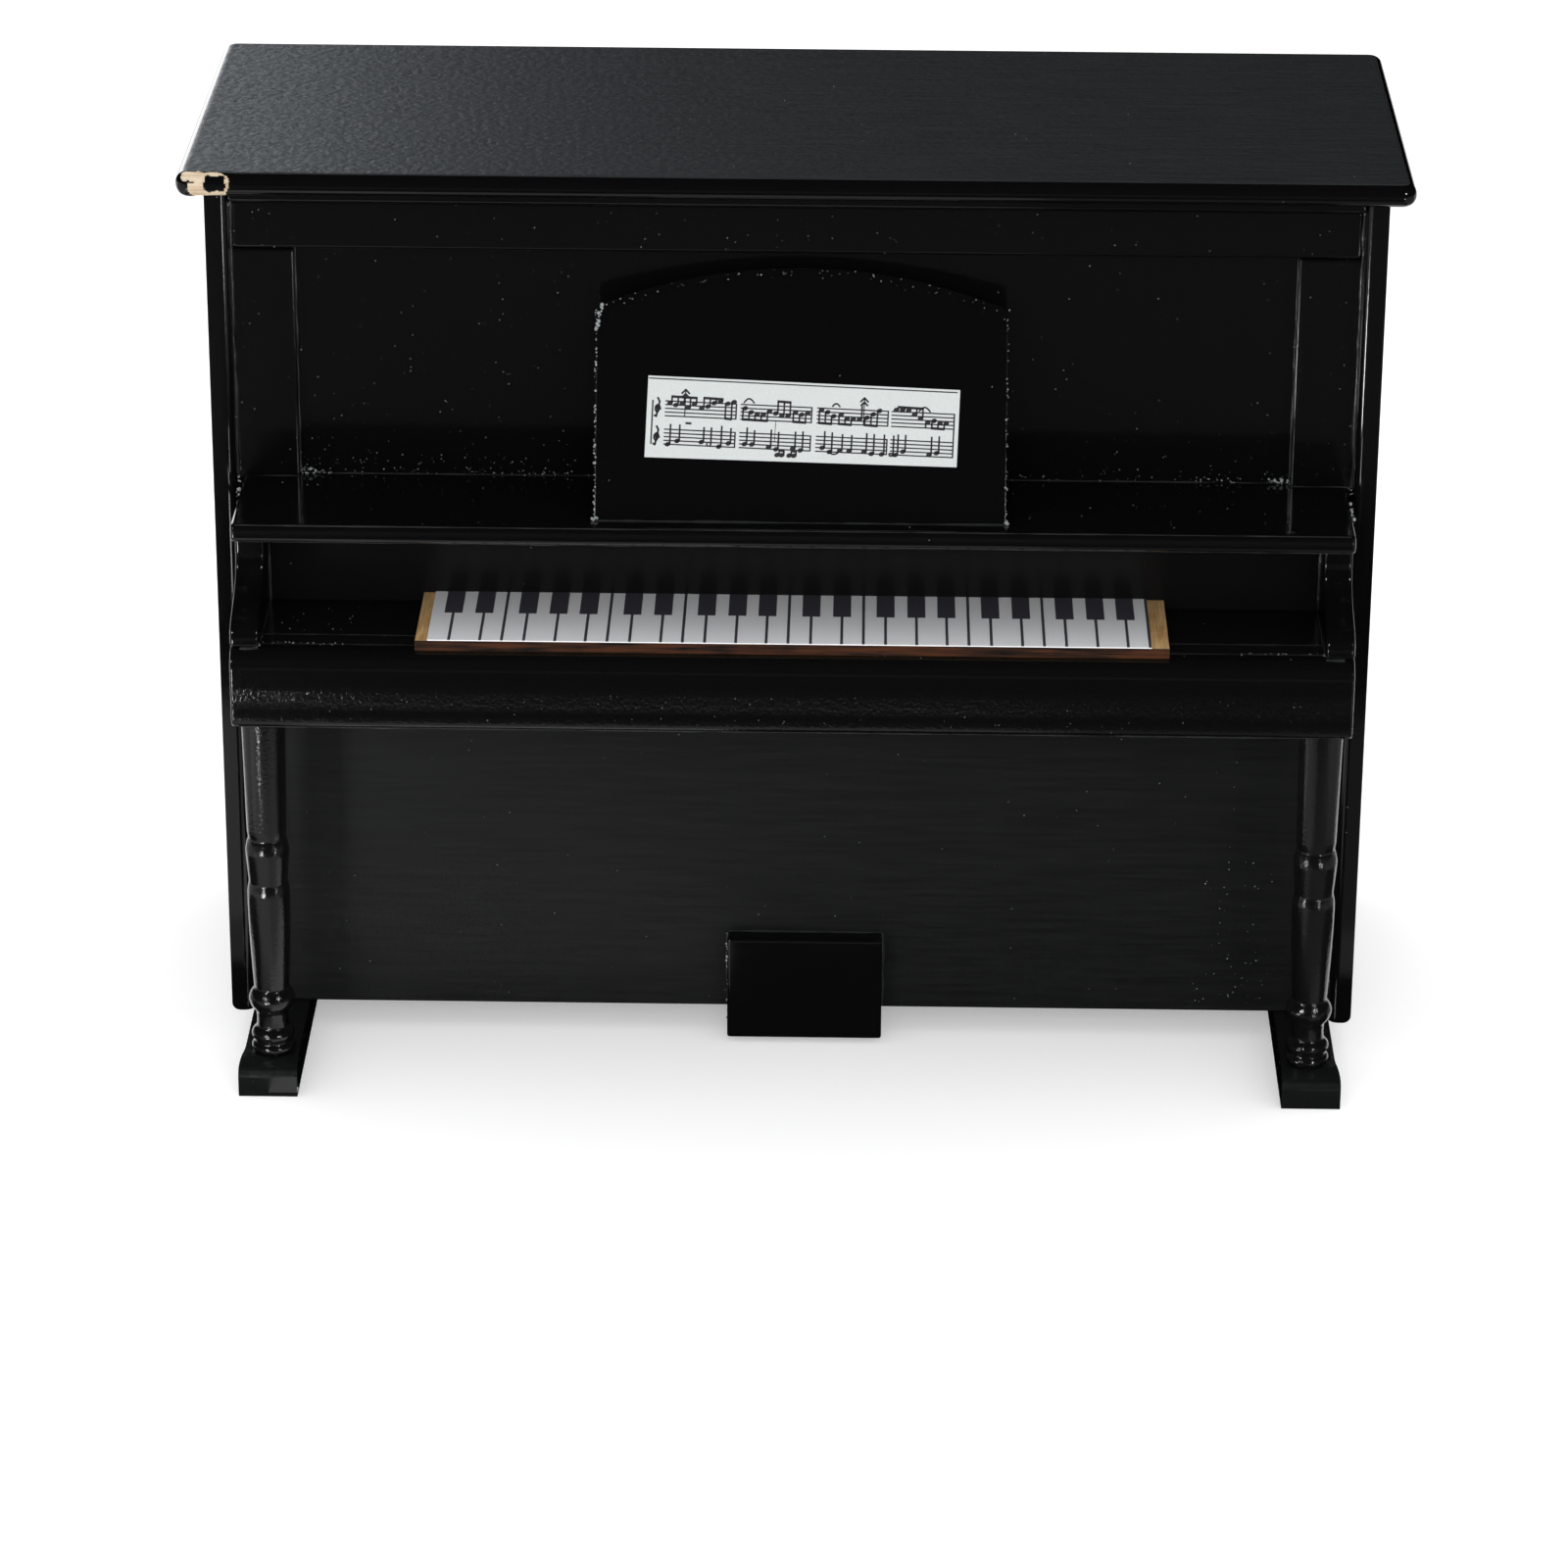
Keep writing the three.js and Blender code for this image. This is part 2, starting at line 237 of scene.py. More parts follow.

# %% [markdown]
# ## Sprayed lacquer
# The finish is black nitrocellulose lacquer sprayed over sanded wood. It is a glossy dielectric with an
# IOR of 1.5, and four things keep it from looking like plastic:
# - orange peel, the fine dimpling that drops of spray leave, a millimetre or so across;
# - a slow waviness from the wood under it, about ten times as wide;
# - the grain, which sinks into thin coats and shows as long streaks along the board;
# - dust that settled while it was wet, one grain of about 0.1 mm every few millimetres.
#
# One function makes every lacquer on the piano, because the same paint only differs in how thick it lies
# and how well the board was sanded. Some colours also carry painted light: a painted sky grey on the lid,
# a painted highlight grey in the pooled runs and painted pale glints on the beads.

# %% Lacquer
def scaled_noise(tree, coords, feature_mm, detail=2.0, stretch=None):
    """Noise whose blobs are about feature_mm across; stretch draws it out along an axis."""
    if stretch:
        coords = add_node(tree, "ShaderNodeMapping", inputs={
            "Vector": coords, "Scale": stretch}).outputs["Vector"]
    return add_node(tree, "ShaderNodeTexNoise", inputs={
        "Vector": coords, "Scale": 1 / (feature_mm * MM), "Detail": detail}).outputs["Fac"]


def relief(tree, height, depth_mm, normal=None):
    """A bump whose full height is depth_mm, laid over an earlier one if there is one."""
    inputs = {"Height": height, "Distance": depth_mm * MM, "Strength": 1.0}
    if normal:
        inputs["Normal"] = normal
    return add_node(tree, "ShaderNodeBump", inputs=inputs).outputs["Normal"]


def blend_range(tree, value, low, high, low_out, high_out):
    """Turns value's range low..high into low_out..high_out, held at both ends."""
    return add_node(tree, "ShaderNodeMapRange", inputs={
        "Value": value, "From Min": low, "From Max": high,
        "To Min": low_out, "To Max": high_out}).outputs["Result"]


def mix_colour(tree, amount, first, second):
    """First colour where amount is 0, second where it is 1."""
    return add_node(tree, "ShaderNodeMix", {"data_type": "RGBA"}, {
        0: amount, 6: first, 7: second}).outputs[2]


ALONG_X = (0.05, 1, 1)
ALONG_Z = (1, 1, 0.05)
# widths and spacings of the relief in mm, and how tall a speck of dust stands
WAVE_WIDTH = 11.0
PEEL_WIDTH = 0.9
GRAIN_WIDTH = 0.45
DUST_SPACING = 2.8
DUST_HEIGHT = 0.03


def lacquer(name, colour, roughness, peel_mm, wave_mm, grain_mm, grain_way=ALONG_X, dust=0.06,
            grain_colour=None, ior=1.5):
    """Sprayed lacquer; the _mm depths are how tall the peel, the waves and the grain stand."""
    finish, tree, shader = new_finish(name)
    coords = add_node(tree, "ShaderNodeTexCoord").outputs["Object"]
    wave = scaled_noise(tree, coords, WAVE_WIDTH)
    peel = scaled_noise(tree, coords, PEEL_WIDTH)
    grain = scaled_noise(tree, coords, GRAIN_WIDTH, 4.0, grain_way)
    cells = add_node(tree, "ShaderNodeTexVoronoi", inputs={
        "Vector": coords, "Scale": 1 / (DUST_SPACING * MM)})
    speck = blend_range(tree, cells.outputs["Distance"], dust * 0.3, dust * 0.5, 1.0, 0.0)
    normal = relief(tree, wave, wave_mm)
    normal = relief(tree, peel, peel_mm, normal)
    normal = relief(tree, grain, grain_mm, normal)
    normal = relief(tree, speck, DUST_HEIGHT, normal)
    body = mix_colour(tree, blend_range(tree, grain, 0.3, 0.7, 0.0, 1.0), linear(colour),
                      linear(grain_colour or colour))
    tree.links.new(mix_colour(tree, speck, body, linear("#6d6f70")), shader.inputs["Base Color"])
    tree.links.new(blend_range(tree, peel, 0.3, 0.7, roughness * 0.85, roughness * 1.15),
                   shader.inputs["Roughness"])
    tree.links.new(normal, shader.inputs["Normal"])
    shader.inputs["IOR"].default_value = ior
    return finish


# thick on smooth boards, it is a near mirror with slow ripples
gloss_black = lacquer("gloss_black_lacquer_on_wood", "#080809", 0.11, 0.0035, 0.02, 0.0008)
# on turned wood the grain runs up the legs and the coat is lumpier
leg_gloss = lacquer("rippled_black_lacquer_on_turned_wood", "#0c0c0d", 0.13, 0.012, 0.01, 0.004, ALONG_Z)
# little spray reached the key recess, so it is duller and mirrors less
recess_dull = lacquer("dull_black_lacquer_in_key_recess", "#101011", 0.2, 0.004, 0.02, 0.001, ior=1.25)
# over the open grain of the lid it dried pebbled and satin; its bluish grey colour is a painted
# reflection of the sky
lid_satin_painted_sky_grey = lacquer("satin_black_lacquer_on_grained_lid_painted_sky_grey", "#25292a", 0.4, 0.08, 0.03, 0.06,
                    grain_colour="#2d3133")
# a thin coat on plywood shows streaks of grain in a dull sheen
panel_satin = lacquer("satin_black_lacquer_on_plywood_panel", "#0e0f0f", 0.46, 0.01, 0.02, 0.008,
                      grain_colour="#151616", ior=1.3)
# the floor rubbed the runners to a soft sheen
toe_satin = lacquer("satin_black_lacquer_on_runners", "#121313", 0.24, 0.006, 0.02, 0.002)
# only a mist reached the back: brownish, open and matt
thin_overspray = lacquer("thin_black_overspray_on_raw_wood", "#161615", 0.6, 0.012, 0.02, 0.02,
                         grain_colour="#24211e")
# pooled paint mirrors more, and its light grey colour is a painted highlight that draws the bright lines
thick_runs_painted_highlight = lacquer("pooled_black_lacquer_painted_light_grey_as_highlight", "#242525", 0.22, 0.004, 0.0, 0.0, ior=1.7)
# dust is truly pale, and the dried bubbles are painted pale as a painted glint
froth_dust_and_painted_glints = lacquer("pale_dust_and_painted_glints_of_lacquer_beads", "#8f9394", 0.2, 0.004, 0.0, 0.0)
print("lacquers:", sum("black" in finish.name for finish in bpy.data.materials))

# %% [markdown]
# ## Wrinkled lacquer on the key slip and the legs
# The slip was sprayed heavily. Half way down its face the wet coat crept and dried in a fine wrinkled
# band, with a second one just over its lower edge. It is the gloss lacquer again with one more relief,
# which a mask made from the height above the ground lets through only inside the two bands. The legs were
# dipped, and wrinkled lightly all over.

# %% Wrinkled lacquer
def band(tree, height, low_mm, high_mm):
    """A mask that rises to 1 between two heights above the ground."""
    soft = 0.5
    rising = blend_range(tree, height, (low_mm - soft) * MM, (low_mm + soft) * MM, 0, 1)
    falling = blend_range(tree, height, (high_mm - soft) * MM, (high_mm + soft) * MM, 1, 0)
    return add_node(tree, "ShaderNodeMath", {"operation": "MULTIPLY"}, {
        0: rising, 1: falling}).outputs[0]


def wrinkle(finish, wrinkle_mm, depth_mm, bands=()):
    """Adds a wrinkled relief to a lacquer, everywhere or only inside two bands of height."""
    tree = finish.node_tree
    shader = shader_of(finish)
    coords = add_node(tree, "ShaderNodeTexCoord").outputs["Object"]
    relief_height = scaled_noise(tree, coords, wrinkle_mm, 3.0)
    if bands:
        height = add_node(tree, "ShaderNodeSeparateXYZ", inputs={"Vector": coords}).outputs["Z"]
        masks = [band(tree, height, *limits) for limits in bands]
        both = add_node(tree, "ShaderNodeMath", {"operation": "MAXIMUM"}, {0: masks[0], 1: masks[1]})
        relief_height = add_node(tree, "ShaderNodeMath", {"operation": "MULTIPLY"}, {
            0: relief_height, 1: both.outputs[0]}).outputs[0]
    smooth_normal = shader.inputs["Normal"].links[0].from_socket
    tree.links.new(relief(tree, relief_height, depth_mm, smooth_normal), shader.inputs["Normal"])


slip_lacquer = lacquer("wrinkled_gloss_lacquer_on_key_slip", "#09090a", 0.13, 0.0035, 0.02, 0.0008)
wrinkle(slip_lacquer, 0.36, 0.06, ((47.3, 49.3), (45.1, 46.0)))
wrinkle(leg_gloss, 0.3, 0.035)
print("wrinkle bands on:", slip_lacquer.name)

# %% [markdown]
# ## Bare wood, paper and ink
# The key strip is basswood, a pale wood with fine, faint grain, left bare on top and stained by
# the spray along its front. Basswood is rough and barely shines. The label paper is coated, so it is
# smoother than writing paper, and its print is a soft charcoal, not black.

# %% Wood, paper and ink
def wood(name, pale, dark, grain_mm, way, roughness):
    """Fine-grained wood whose darker lines are about grain_mm apart."""
    finish, tree, shader = new_finish(name)
    coords = add_node(tree, "ShaderNodeTexCoord").outputs["Object"]
    lines = scaled_noise(tree, coords, grain_mm, 5.0, way)
    clouds = scaled_noise(tree, coords, 3.0)
    line_share = 0.75
    lined = add_node(tree, "ShaderNodeMath", {"operation": "MULTIPLY"}, {
        0: lines, 1: line_share}).outputs[0]
    both = add_node(tree, "ShaderNodeMath", {"operation": "MULTIPLY_ADD"}, {
        0: clouds, 1: 1 - line_share, 2: lined}).outputs[0]
    amount = blend_range(tree, both, 0.38, 0.62, 0.0, 1.0)
    tree.links.new(mix_colour(tree, amount, linear(pale), linear(dark)), shader.inputs["Base Color"])
    tree.links.new(relief(tree, lines, 0.03), shader.inputs["Normal"])
    shader.inputs["Roughness"].default_value = roughness
    return finish


def print_stock(name, colour, roughness, mottle):
    """Coated label paper, or the ink on it, with a faint mottle of fibres 0.2 mm across."""
    finish, tree, shader = new_finish(name)
    coords = add_node(tree, "ShaderNodeTexCoord").outputs["Object"]
    fibres = scaled_noise(tree, coords, 0.2, 3.0)
    amount = blend_range(tree, fibres, 0.3, 0.7, 0.0, 1.0)
    tree.links.new(mix_colour(tree, amount, linear(colour), linear(mottle)), shader.inputs["Base Color"])
    tree.links.new(relief(tree, fibres, 0.002), shader.inputs["Normal"])
    shader.inputs["Roughness"].default_value = roughness
    return finish


bare_basswood = wood("sawn_bare_basswood", "#dcb47c", "#b58a52", 0.22, (1, 0.06, 1), 0.75)
stained_basswood = wood("spray_stained_basswood_edge", "#46230b", "#0e0a08", 0.3, ALONG_X, 0.7)
shader_of(stained_basswood).inputs["Specular IOR Level"].default_value = 0.15
chipped_wood = wood("bare_wood_under_chipped_paint", "#d6c6ae", "#b29b7c", 0.3, ALONG_X, 0.8)
key_paper = print_stock("coated_label_paper_for_keys", "#fafbfd", 0.5, "#f3f4f6")
music_paper = print_stock("coated_label_paper_for_music", "#c6cbca", 0.5, "#bfc4c3")
key_ink = print_stock("charcoal_printing_ink_of_keys", "#4a4852", 0.5, "#43414b")
music_ink = print_stock("charcoal_printing_ink_of_music", "#1e1d25", 0.5, "#29282f")
print("finishes so far:", len(bpy.data.materials))

# %% [markdown]
# ## Tools for boards
# Every board starts as a cube stretched between two corners. Real edges are never sharp: they were
# sanded and then the paint rounded them again, so each board gets its large roundings first and then a
# small one on every edge that is still sharp. With rounded edges, smooth shading would make the flat
# faces look like pillows, and a Weighted Normal modifier keeps them flat.

# %% Tools for boards
def cube_between(low, high):
    """A bmesh cube stretched between two corners."""
    bm = bmesh.new()
    bmesh.ops.create_cube(bm, size=1)
    bmesh.ops.scale(bm, vec=high - low, verts=bm.verts)
    bmesh.ops.translate(bm, vec=(low + high) / 2, verts=bm.verts)
    return bm


def edges_at(bm, **place):
    """The edges that lie wholly at the given x, y or z."""
    near = 1e-6
    return [edge for edge in bm.edges if all(
        abs(getattr(vert.co, axis) - value) < near for vert in edge.verts
        for axis, value in place.items())]


def sharp_edges(bm, degrees=40):
    """The edges whose faces meet at more than some angle."""
    return [edge for edge in bm.edges if edge.calc_face_angle(0) > math.radians(degrees)]


def round_edges(bm, edges, radius, segments=4):
    """Rounds edges with a radius in metres."""
    bmesh.ops.bevel(bm, geom=edges, offset=radius, offset_type="OFFSET", affect="EDGES",
                    segments=segments, profile=0.5, material=-1, clamp_overlap=True)


def cut_across(bm, place, way, **options):
    """Cuts the whole mesh with a plane through a place, square to way."""
    return bmesh.ops.bisect_plane(bm, geom=bm.verts[:] + bm.edges[:] + bm.faces[:],
                                  plane_co=place, plane_no=way, **options)


def saw_off(bm, place, way):
    """Removes what lies beyond a plane and closes the sawn end."""
    cut = cut_across(bm, place, way, clear_outer=True)
    rim = [item for item in cut["geom_cut"] if isinstance(item, bmesh.types.BMEdge)]
    bmesh.ops.edgeloop_fill(bm, edges=rim)


def outlined_board(outline, thickness):
    """A board whose one face has the given outline, extruded by the vector thickness."""
    bm = bmesh.new()
    face = bm.faces.new([bm.verts.new(corner) for corner in outline])
    pushed = bmesh.ops.extrude_face_region(bm, geom=[face])
    moved = [item for item in pushed["geom"] if isinstance(item, bmesh.types.BMVert)]
    bmesh.ops.translate(bm, vec=thickness, verts=moved)
    bmesh.ops.recalc_face_normals(bm, faces=bm.faces)
    return bm


def keep_piece(bm, name, finishes, replaced=(), smooth_degrees=50):
    """Turns a bmesh into a finished piece that rides on the piano's body."""
    mesh = bpy.data.meshes.new(name)
    bm.to_mesh(mesh)
    bm.free()
    for finish in finishes:
        mesh.materials.append(finish)
    mesh.shade_smooth()
    mesh.set_sharp_from_angle(angle=math.radians(smooth_degrees))
    piece = bpy.data.objects.new(name, mesh)
    bpy.context.scene.collection.objects.link(piece)
    flat_faces = piece.modifiers.new("flat faces stay flat", "WEIGHTED_NORMAL")
    flat_faces.weight = 100
    flat_faces.keep_sharp = True
    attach(piece, "root")
    if replaced:
        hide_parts(*replaced)
    return piece


def keep_lacquered(bm, node, finish):
    """Keeps a board under its measured name, in place of the measured one."""
    return keep_piece(bm, node + "_lacquered", [finish], [node])


def shaped_board(low, high, roundings=(), edge_mm=0.2):
    """A board with large roundings, each (edges' place, radius in mm), and small ones elsewhere."""
    bm = cube_between(low, high)
    for place, radius_mm in roundings:
        round_edges(bm, edges_at(bm, **place), radius_mm * MM, 6)
    round_edges(bm, sharp_edges(bm), edge_mm * MM, 3)
    return bm


print("small edge rounding: 0.2 mm unless a piece says otherwise")

# %% [markdown]
# ## Plain boards of the case
# The case is two sides, a back, a bottom and two front panels. The sides have a half-round front edge,
# which catches the light as a tall bright line, and their lower corners are worn round. The
# lower front panel is thin plywood with less lacquer on it, so its finish is the satin one, and nobody
# polished the back or the bottom.

# %% Boards of the case
def flat_boards():
    """The two front panels, the back and the bottom."""
    for node, finish in (("lower_front_panel", panel_satin), ("upper_front_panel", gloss_black),
                         ("back_panel", thin_overspray), ("bottom_board", thin_overspray)):
        low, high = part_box(node)
        keep_lacquered(shaped_board(low, high), node, finish)


def side_panels():
    """The sides, with a round front edge and a worn corner at the foot."""
    for side in ("left", "right"):
        node = side + "_side_panel"
        low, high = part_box(node)
        outer = low.x if side == "left" else high.x
        worn_mm, front_mm = 0.9, 1.1
        roundings = [({"x": outer, "z": low.z}, worn_mm),
                     ({"y": low.y, "x": low.x}, front_mm),
                     ({"y": low.y, "x": high.x}, front_mm)]
        keep_lacquered(shaped_board(low, high, roundings, 0.25), node, gloss_black)
        print(node, "is", round((high.z - low.z) / MM, 1), "mm tall")


flat_boards()
side_panels()

# %% [markdown]
# ## The frame on the upper panel
# A rail and two stiles, one millimetre thick, are glued on the upper panel and leave a sunk field between
# them. Paint has softened their edges more than elsewhere, so light draws a thin line round the field.

# %% Frame on the upper panel
for node in ("top_rail", "left_stile", "right_stile"):
    low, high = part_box(node)
    edge_mm = 0.5 if node == "top_rail" else 0.32
    keep_lacquered(shaped_board(low, high, edge_mm=edge_mm), node, gloss_black)

# %% [markdown]
# ## Long bars: cornice, key slip, shelf and pedal block
# These are boards whose long edges each have their own rounding. The key slip is the one that matters:
# its top edge is a large soft curve and its lower edge a tight one, which gathers a bright line.

# %% Long bars
def long_bar(node, finish, front_low, front_high, edge_mm):
    """A bar along X with its own radius in mm on its lower front, upper front and other edges."""
    low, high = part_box(node)
    roundings = [({"y": low.y, "z": high.z}, front_high), ({"y": low.y, "z": low.z}, front_low)]
    return keep_lacquered(shaped_board(low, high, roundings, edge_mm), node, finish)


bars = (
    ("cornice_strip", gloss_black, 0.6, 0.3, 0.25),
    ("key_slip", slip_lacquer, 0.9, 2.2, 0.35),
    ("keyboard_shelf", gloss_black, 0.7, 0.7, 0.35),
    ("pedal_block", gloss_black, 0.8, 0.45, 0.3),
    ("key_bed", recess_dull, 0.3, 0.3, 0.25),
    ("fallboard", recess_dull, 0.3, 0.3, 0.25),
)
for bar in bars:
    long_bar(*bar)
print("long bars:", len(bars))

# %% [markdown]
# ## The lid
# The lid is a board with rounded plan corners and a half-round nose along its front and sides. Its back
# is sawn off flat, to stand against a wall. The board is made a little too deep, rounded all the way
# round, and then really is sawn: bisect_plane cuts it and the open end is filled.

# %% The lid's board
lid_low, lid_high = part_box("top_board")
LID_CORNER = 1.6 * MM
LID_NOSE = 1.25 * MM
SAW_ALLOWANCE = 1 * MM


def lid_board():
    """The whole lid, sawn flat along its back."""
    deep_high = lid_high + Vector((0, SAW_ALLOWANCE, 0))
    bm = cube_between(lid_low, deep_high)
    corners = [edge for edge in bm.edges if abs(edge.verts[0].co.z - edge.verts[1].co.z) > LID_NOSE]
    round_edges(bm, corners, LID_CORNER, 8)
    round_edges(bm, edges_at(bm, z=lid_high.z) + edges_at(bm, z=lid_low.z), LID_NOSE, 8)
    saw_off(bm, (0, lid_high.y, 0), (0, 1, 0))
    round_edges(bm, sharp_edges(bm), 0.15 * MM, 2)
    bmesh.ops.recalc_face_normals(bm, faces=bm.faces)
    return bm


# %% [markdown]
# ## The chipped corner
# The lid's left front corner was knocked. The lacquer has flaked off the nose down to pale wood, and one
# dark island of it still holds on. The nose is cut into facets of about 0.13 mm there. Facets inside the
# chip are given the bare wood, and their points sink by the thickness of the paint. A few rounded
# rectangles, roughened with noise, say what is inside. The knock also swelled the corner a little, so its
# points are pushed away from the middle of the board's thickness by an amount that fades with distance.

# %% The chip in the lid's corner
FACET = 0.13 * MM
PAINT_THICKNESS = 0.14 * MM
CHIP_REACH = 6.6 * MM
TIP_REACH = 3 * MM
TIP_DEPTH = 2.2 * MM
CUTTING_ROUNDS = 6


def in_rounded_box(x, y, low, high, corner, ragged):
    """Whether a point in mm is inside a rounded rectangle, whose outline noise moves by up to ragged."""
    centre = [(low[i] + high[i]) / 2 for i in (0, 1)]
    reach = [abs(value - centre[i]) - (high[i] - low[i]) / 2 + corner
             for i, value in enumerate((x, y))]
    outside = math.hypot(max(reach[0], 0), max(reach[1], 0)) + min(max(reach), 0) - corner
    return outside + ragged * noise.noise(Vector((x, y, low[0])) * 1.7) < 0


def is_chipped(place):
    """Whether a place on the lid's nose is bare. The chip is laid out in mm, as the camera sees it."""
    along = (place.x - lid_low.x) / MM
    top_line = Vector((0, lid_low.y + LID_NOSE, lid_high.z))
    down = (top_line - place).dot(level_up) / MM
    bare = (in_rounded_box(along, down, (1.35, -0.1), (5.7, 2.3), 1.1, 0.16)
            or in_rounded_box(along, down, (0.75, -0.05), (3.0, 0.9), 0.4, 0.12))
    island = in_rounded_box(along, down, (3.05, 0.28), (5.3, 1.8), 0.35, 0.15)
    tongue = in_rounded_box(along, down, (0.7, 0.84), (2.1, 1.08), 0.1, 0.12)
    return bare and not island and not tongue


def chip_corner(bm):
    """Cuts the nose of the left front corner into small facets and lowers those inside the chip."""
    edge_x, edge_y = lid_low.x + CHIP_REACH, lid_low.y + LID_NOSE * 1.02
    cut_across(bm, (edge_x, 0, 0), (1, 0, 0))

    def in_reach(point):
        """Whether a point is on the part of the nose that gets facets."""
        deeper = TIP_DEPTH if point.x < lid_low.x + TIP_REACH else 0
        return point.x < edge_x + FACET and point.y < edge_y + deeper

    for _ in range(CUTTING_ROUNDS):
        long_edges = [edge for edge in bm.edges if edge.calc_length() > FACET * 1.5
                      and all(in_reach(vert.co) for vert in edge.verts)]
        if not long_edges:
            break
        bmesh.ops.subdivide_edges(bm, edges=long_edges, cuts=1, use_grid_fill=True)
    bm.normal_update()
    chipped = [face for face in bm.faces if face.calc_area() < 4 * FACET ** 2
               and is_chipped(face.calc_center_median())]
    for face in chipped:
        face.material_index = BARE
    chip_faces = set(chipped)
    inner = {vert for face in chipped for vert in face.verts
             if all(other in chip_faces for other in vert.link_faces)}
    for vert in inner:
        roughness = 0.8 + 0.5 * noise.noise(vert.co * 2000)
        vert.co -= vert.normal * PAINT_THICKNESS * roughness
    return len(chipped)


def swell_corner(bm, reach_mm=9.0, depth_mm=3.5, swelling=0.36, lean_mm=0.3):
    """Thickens the knocked corner, most at its tip."""
    middle = (lid_low.z + lid_high.z) / 2
    for vert in bm.verts:
        away = min((vert.co.x - lid_low.x) / (reach_mm * MM), 1)
        inward = min(max(vert.co.y - lid_low.y, 0) / (depth_mm * MM), 1)
        weight = (1 - away) ** 2 * (1 - inward) ** 2
        vert.co.z += (vert.co.z - middle) * swelling * weight
        vert.co.x -= lean_mm * MM * (1 - away) ** 4 * (1 - inward)


# the lid's materials, in order: satin with a painted sky grey on its flat faces, bare wood in the chip,
# gloss on its nose
SATIN, BARE, GLOSS = 0, 1, 2
bm = lid_board()
for face in bm.faces:
    is_flat = abs(face.normal.z) >= 0.93
    is_sawn = face.normal.y >= 0.9
    face.material_index = SATIN if is_flat or is_sawn else GLOSS
facets = chip_corner(bm)
swell_corner(bm)
print("bare facets in the chip:", facets, "of", len(bm.faces))
keep_piece(bm, "top_board_lacquered", [lid_satin_painted_sky_grey, chipped_wood, gloss_black],
           ["top_board"])

# %% [markdown]
# ## Cheeks
# A cheek is a thin board at each end of the keys. It drops straight from the shelf, sweeps forward in a
# cove and ends in a little upright foot. The cove is one Bezier curve. The outline is filled, pushed
# out to the cheek's thickness and rounded.

# %% Cheeks
def curve_point(ends, handles, t):
    """A point at t on a cubic Bezier curve in the (y, z) plane."""
    s = 1 - t
    return tuple(s ** 3 * ends[0][i] + 3 * s * s * t * handles[0][i]
                 + 3 * s * t * t * handles[1][i] + t ** 3 * ends[1][i] for i in (0, 1))


def cheek(node):
    """A cheek from its side outline: up its back, down from the shelf, along the cove to its foot."""
    low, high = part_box(node)
    drop_y = high.y - 7.4 * MM
    sweep_top = low.z + 8 * MM
    toe_z = low.z + 0.9 * MM
    cove_steps = 20
    cove = [curve_point(((drop_y, sweep_top), (low.y, toe_z)),
                        ((drop_y, sweep_top - 5.2 * MM), (low.y + 0.1 * MM, sweep_top - 3.6 * MM)),
                        i / cove_steps) for i in range(cove_steps + 1)]
    outline = [(high.y, low.z), (high.y, high.z), (drop_y, high.z), *cove, (low.y, low.z)]
    bm = outlined_board([(low.x, y, z) for y, z in outline], (high.x - low.x, 0, 0))
    round_edges(bm, sharp_edges(bm), 0.35 * MM, 4)
    keep_lacquered(bm, node, gloss_black)
    print(node, "foot stands", round((high.y - low.y) / MM, 1), "mm forward")


cheek("left_key_cheek")
cheek("right_key_cheek")

# %% [markdown]
# ## Turned legs
# Each leg was turned on a lathe: a long tapered shaft, a short waist between two soft creases, a second
# shaft that tapers down, a ball, a neck and two rings. They are listed here from the foot up. A lathe in
# Blender is spin: a profile is drawn from the axis out and turned all the way round. Beads are half a
# sine wave, which meet in sharp creases as a skew chisel leaves them. Paint has filled those creases, so
# each radius is then averaged a few times with its two neighbours.

# %% Turned legs
LEG_SIDES = 48
LEG_STEP = 0.13
# form, height, radius at the narrow place, radius at the wide place, all in mm, from the foot up
LEG_TURNING = (
    ("bead", 1.3, 2.08, 2.44),
    ("bead", 1.7, 1.9, 2.4),
    ("cove", 1.9, 1.8, 1.74),
    ("bead", 3.1, 1.8, 2.58),
    ("shaft", 11.3, 1.96, 2.36),
    ("round", 1.4, 2.14, 2.36),
    ("taper", 3.6, 2.14, 2.42),
    ("round", 1.7, 2.12, 2.42),
    ("shaft", 1.2, 2.06, 2.2),
    ("taper", 13.3, 2.2, 2.42),
)


def turning_radius(form, narrow, wide, t):
    """The radius a fraction t of the way up one form of the turning."""
    if form in ("bead", "cove"):
        return narrow + (wide - narrow) * math.sin(math.pi * t)
    if form == "shaft":
        return narrow + (wide - narrow) * math.sin(math.pi / 2 * t)
    if form == "round":
        return narrow + (wide - narrow) * math.cos(math.pi / 2 * t)
    return narrow + (wide - narrow) * t


def leg_profile(fillings=2):
    """(radius, height) in mm all the way up the leg, with its creases filled by paint."""
    heights, radii, climbed = [], [], 0.0
    for form, length, narrow, wide in LEG_TURNING:
        steps = round(length / LEG_STEP)
        for i in range(steps):
            heights.append(climbed + length * i / steps)
            radii.append(turning_radius(form, narrow, wide, i / steps))
        climbed += length
    heights.append(climbed)
    radii.append(LEG_TURNING[-1][3])
    for _ in range(fillings):
        filled = [(a + 2 * b + c) / 4 for a, b, c in zip(radii, radii[1:], radii[2:])]
        radii = [radii[0], *filled, radii[-1]]
    return [(0.0, 0.0), *zip(radii, heights), (0.0, climbed)]


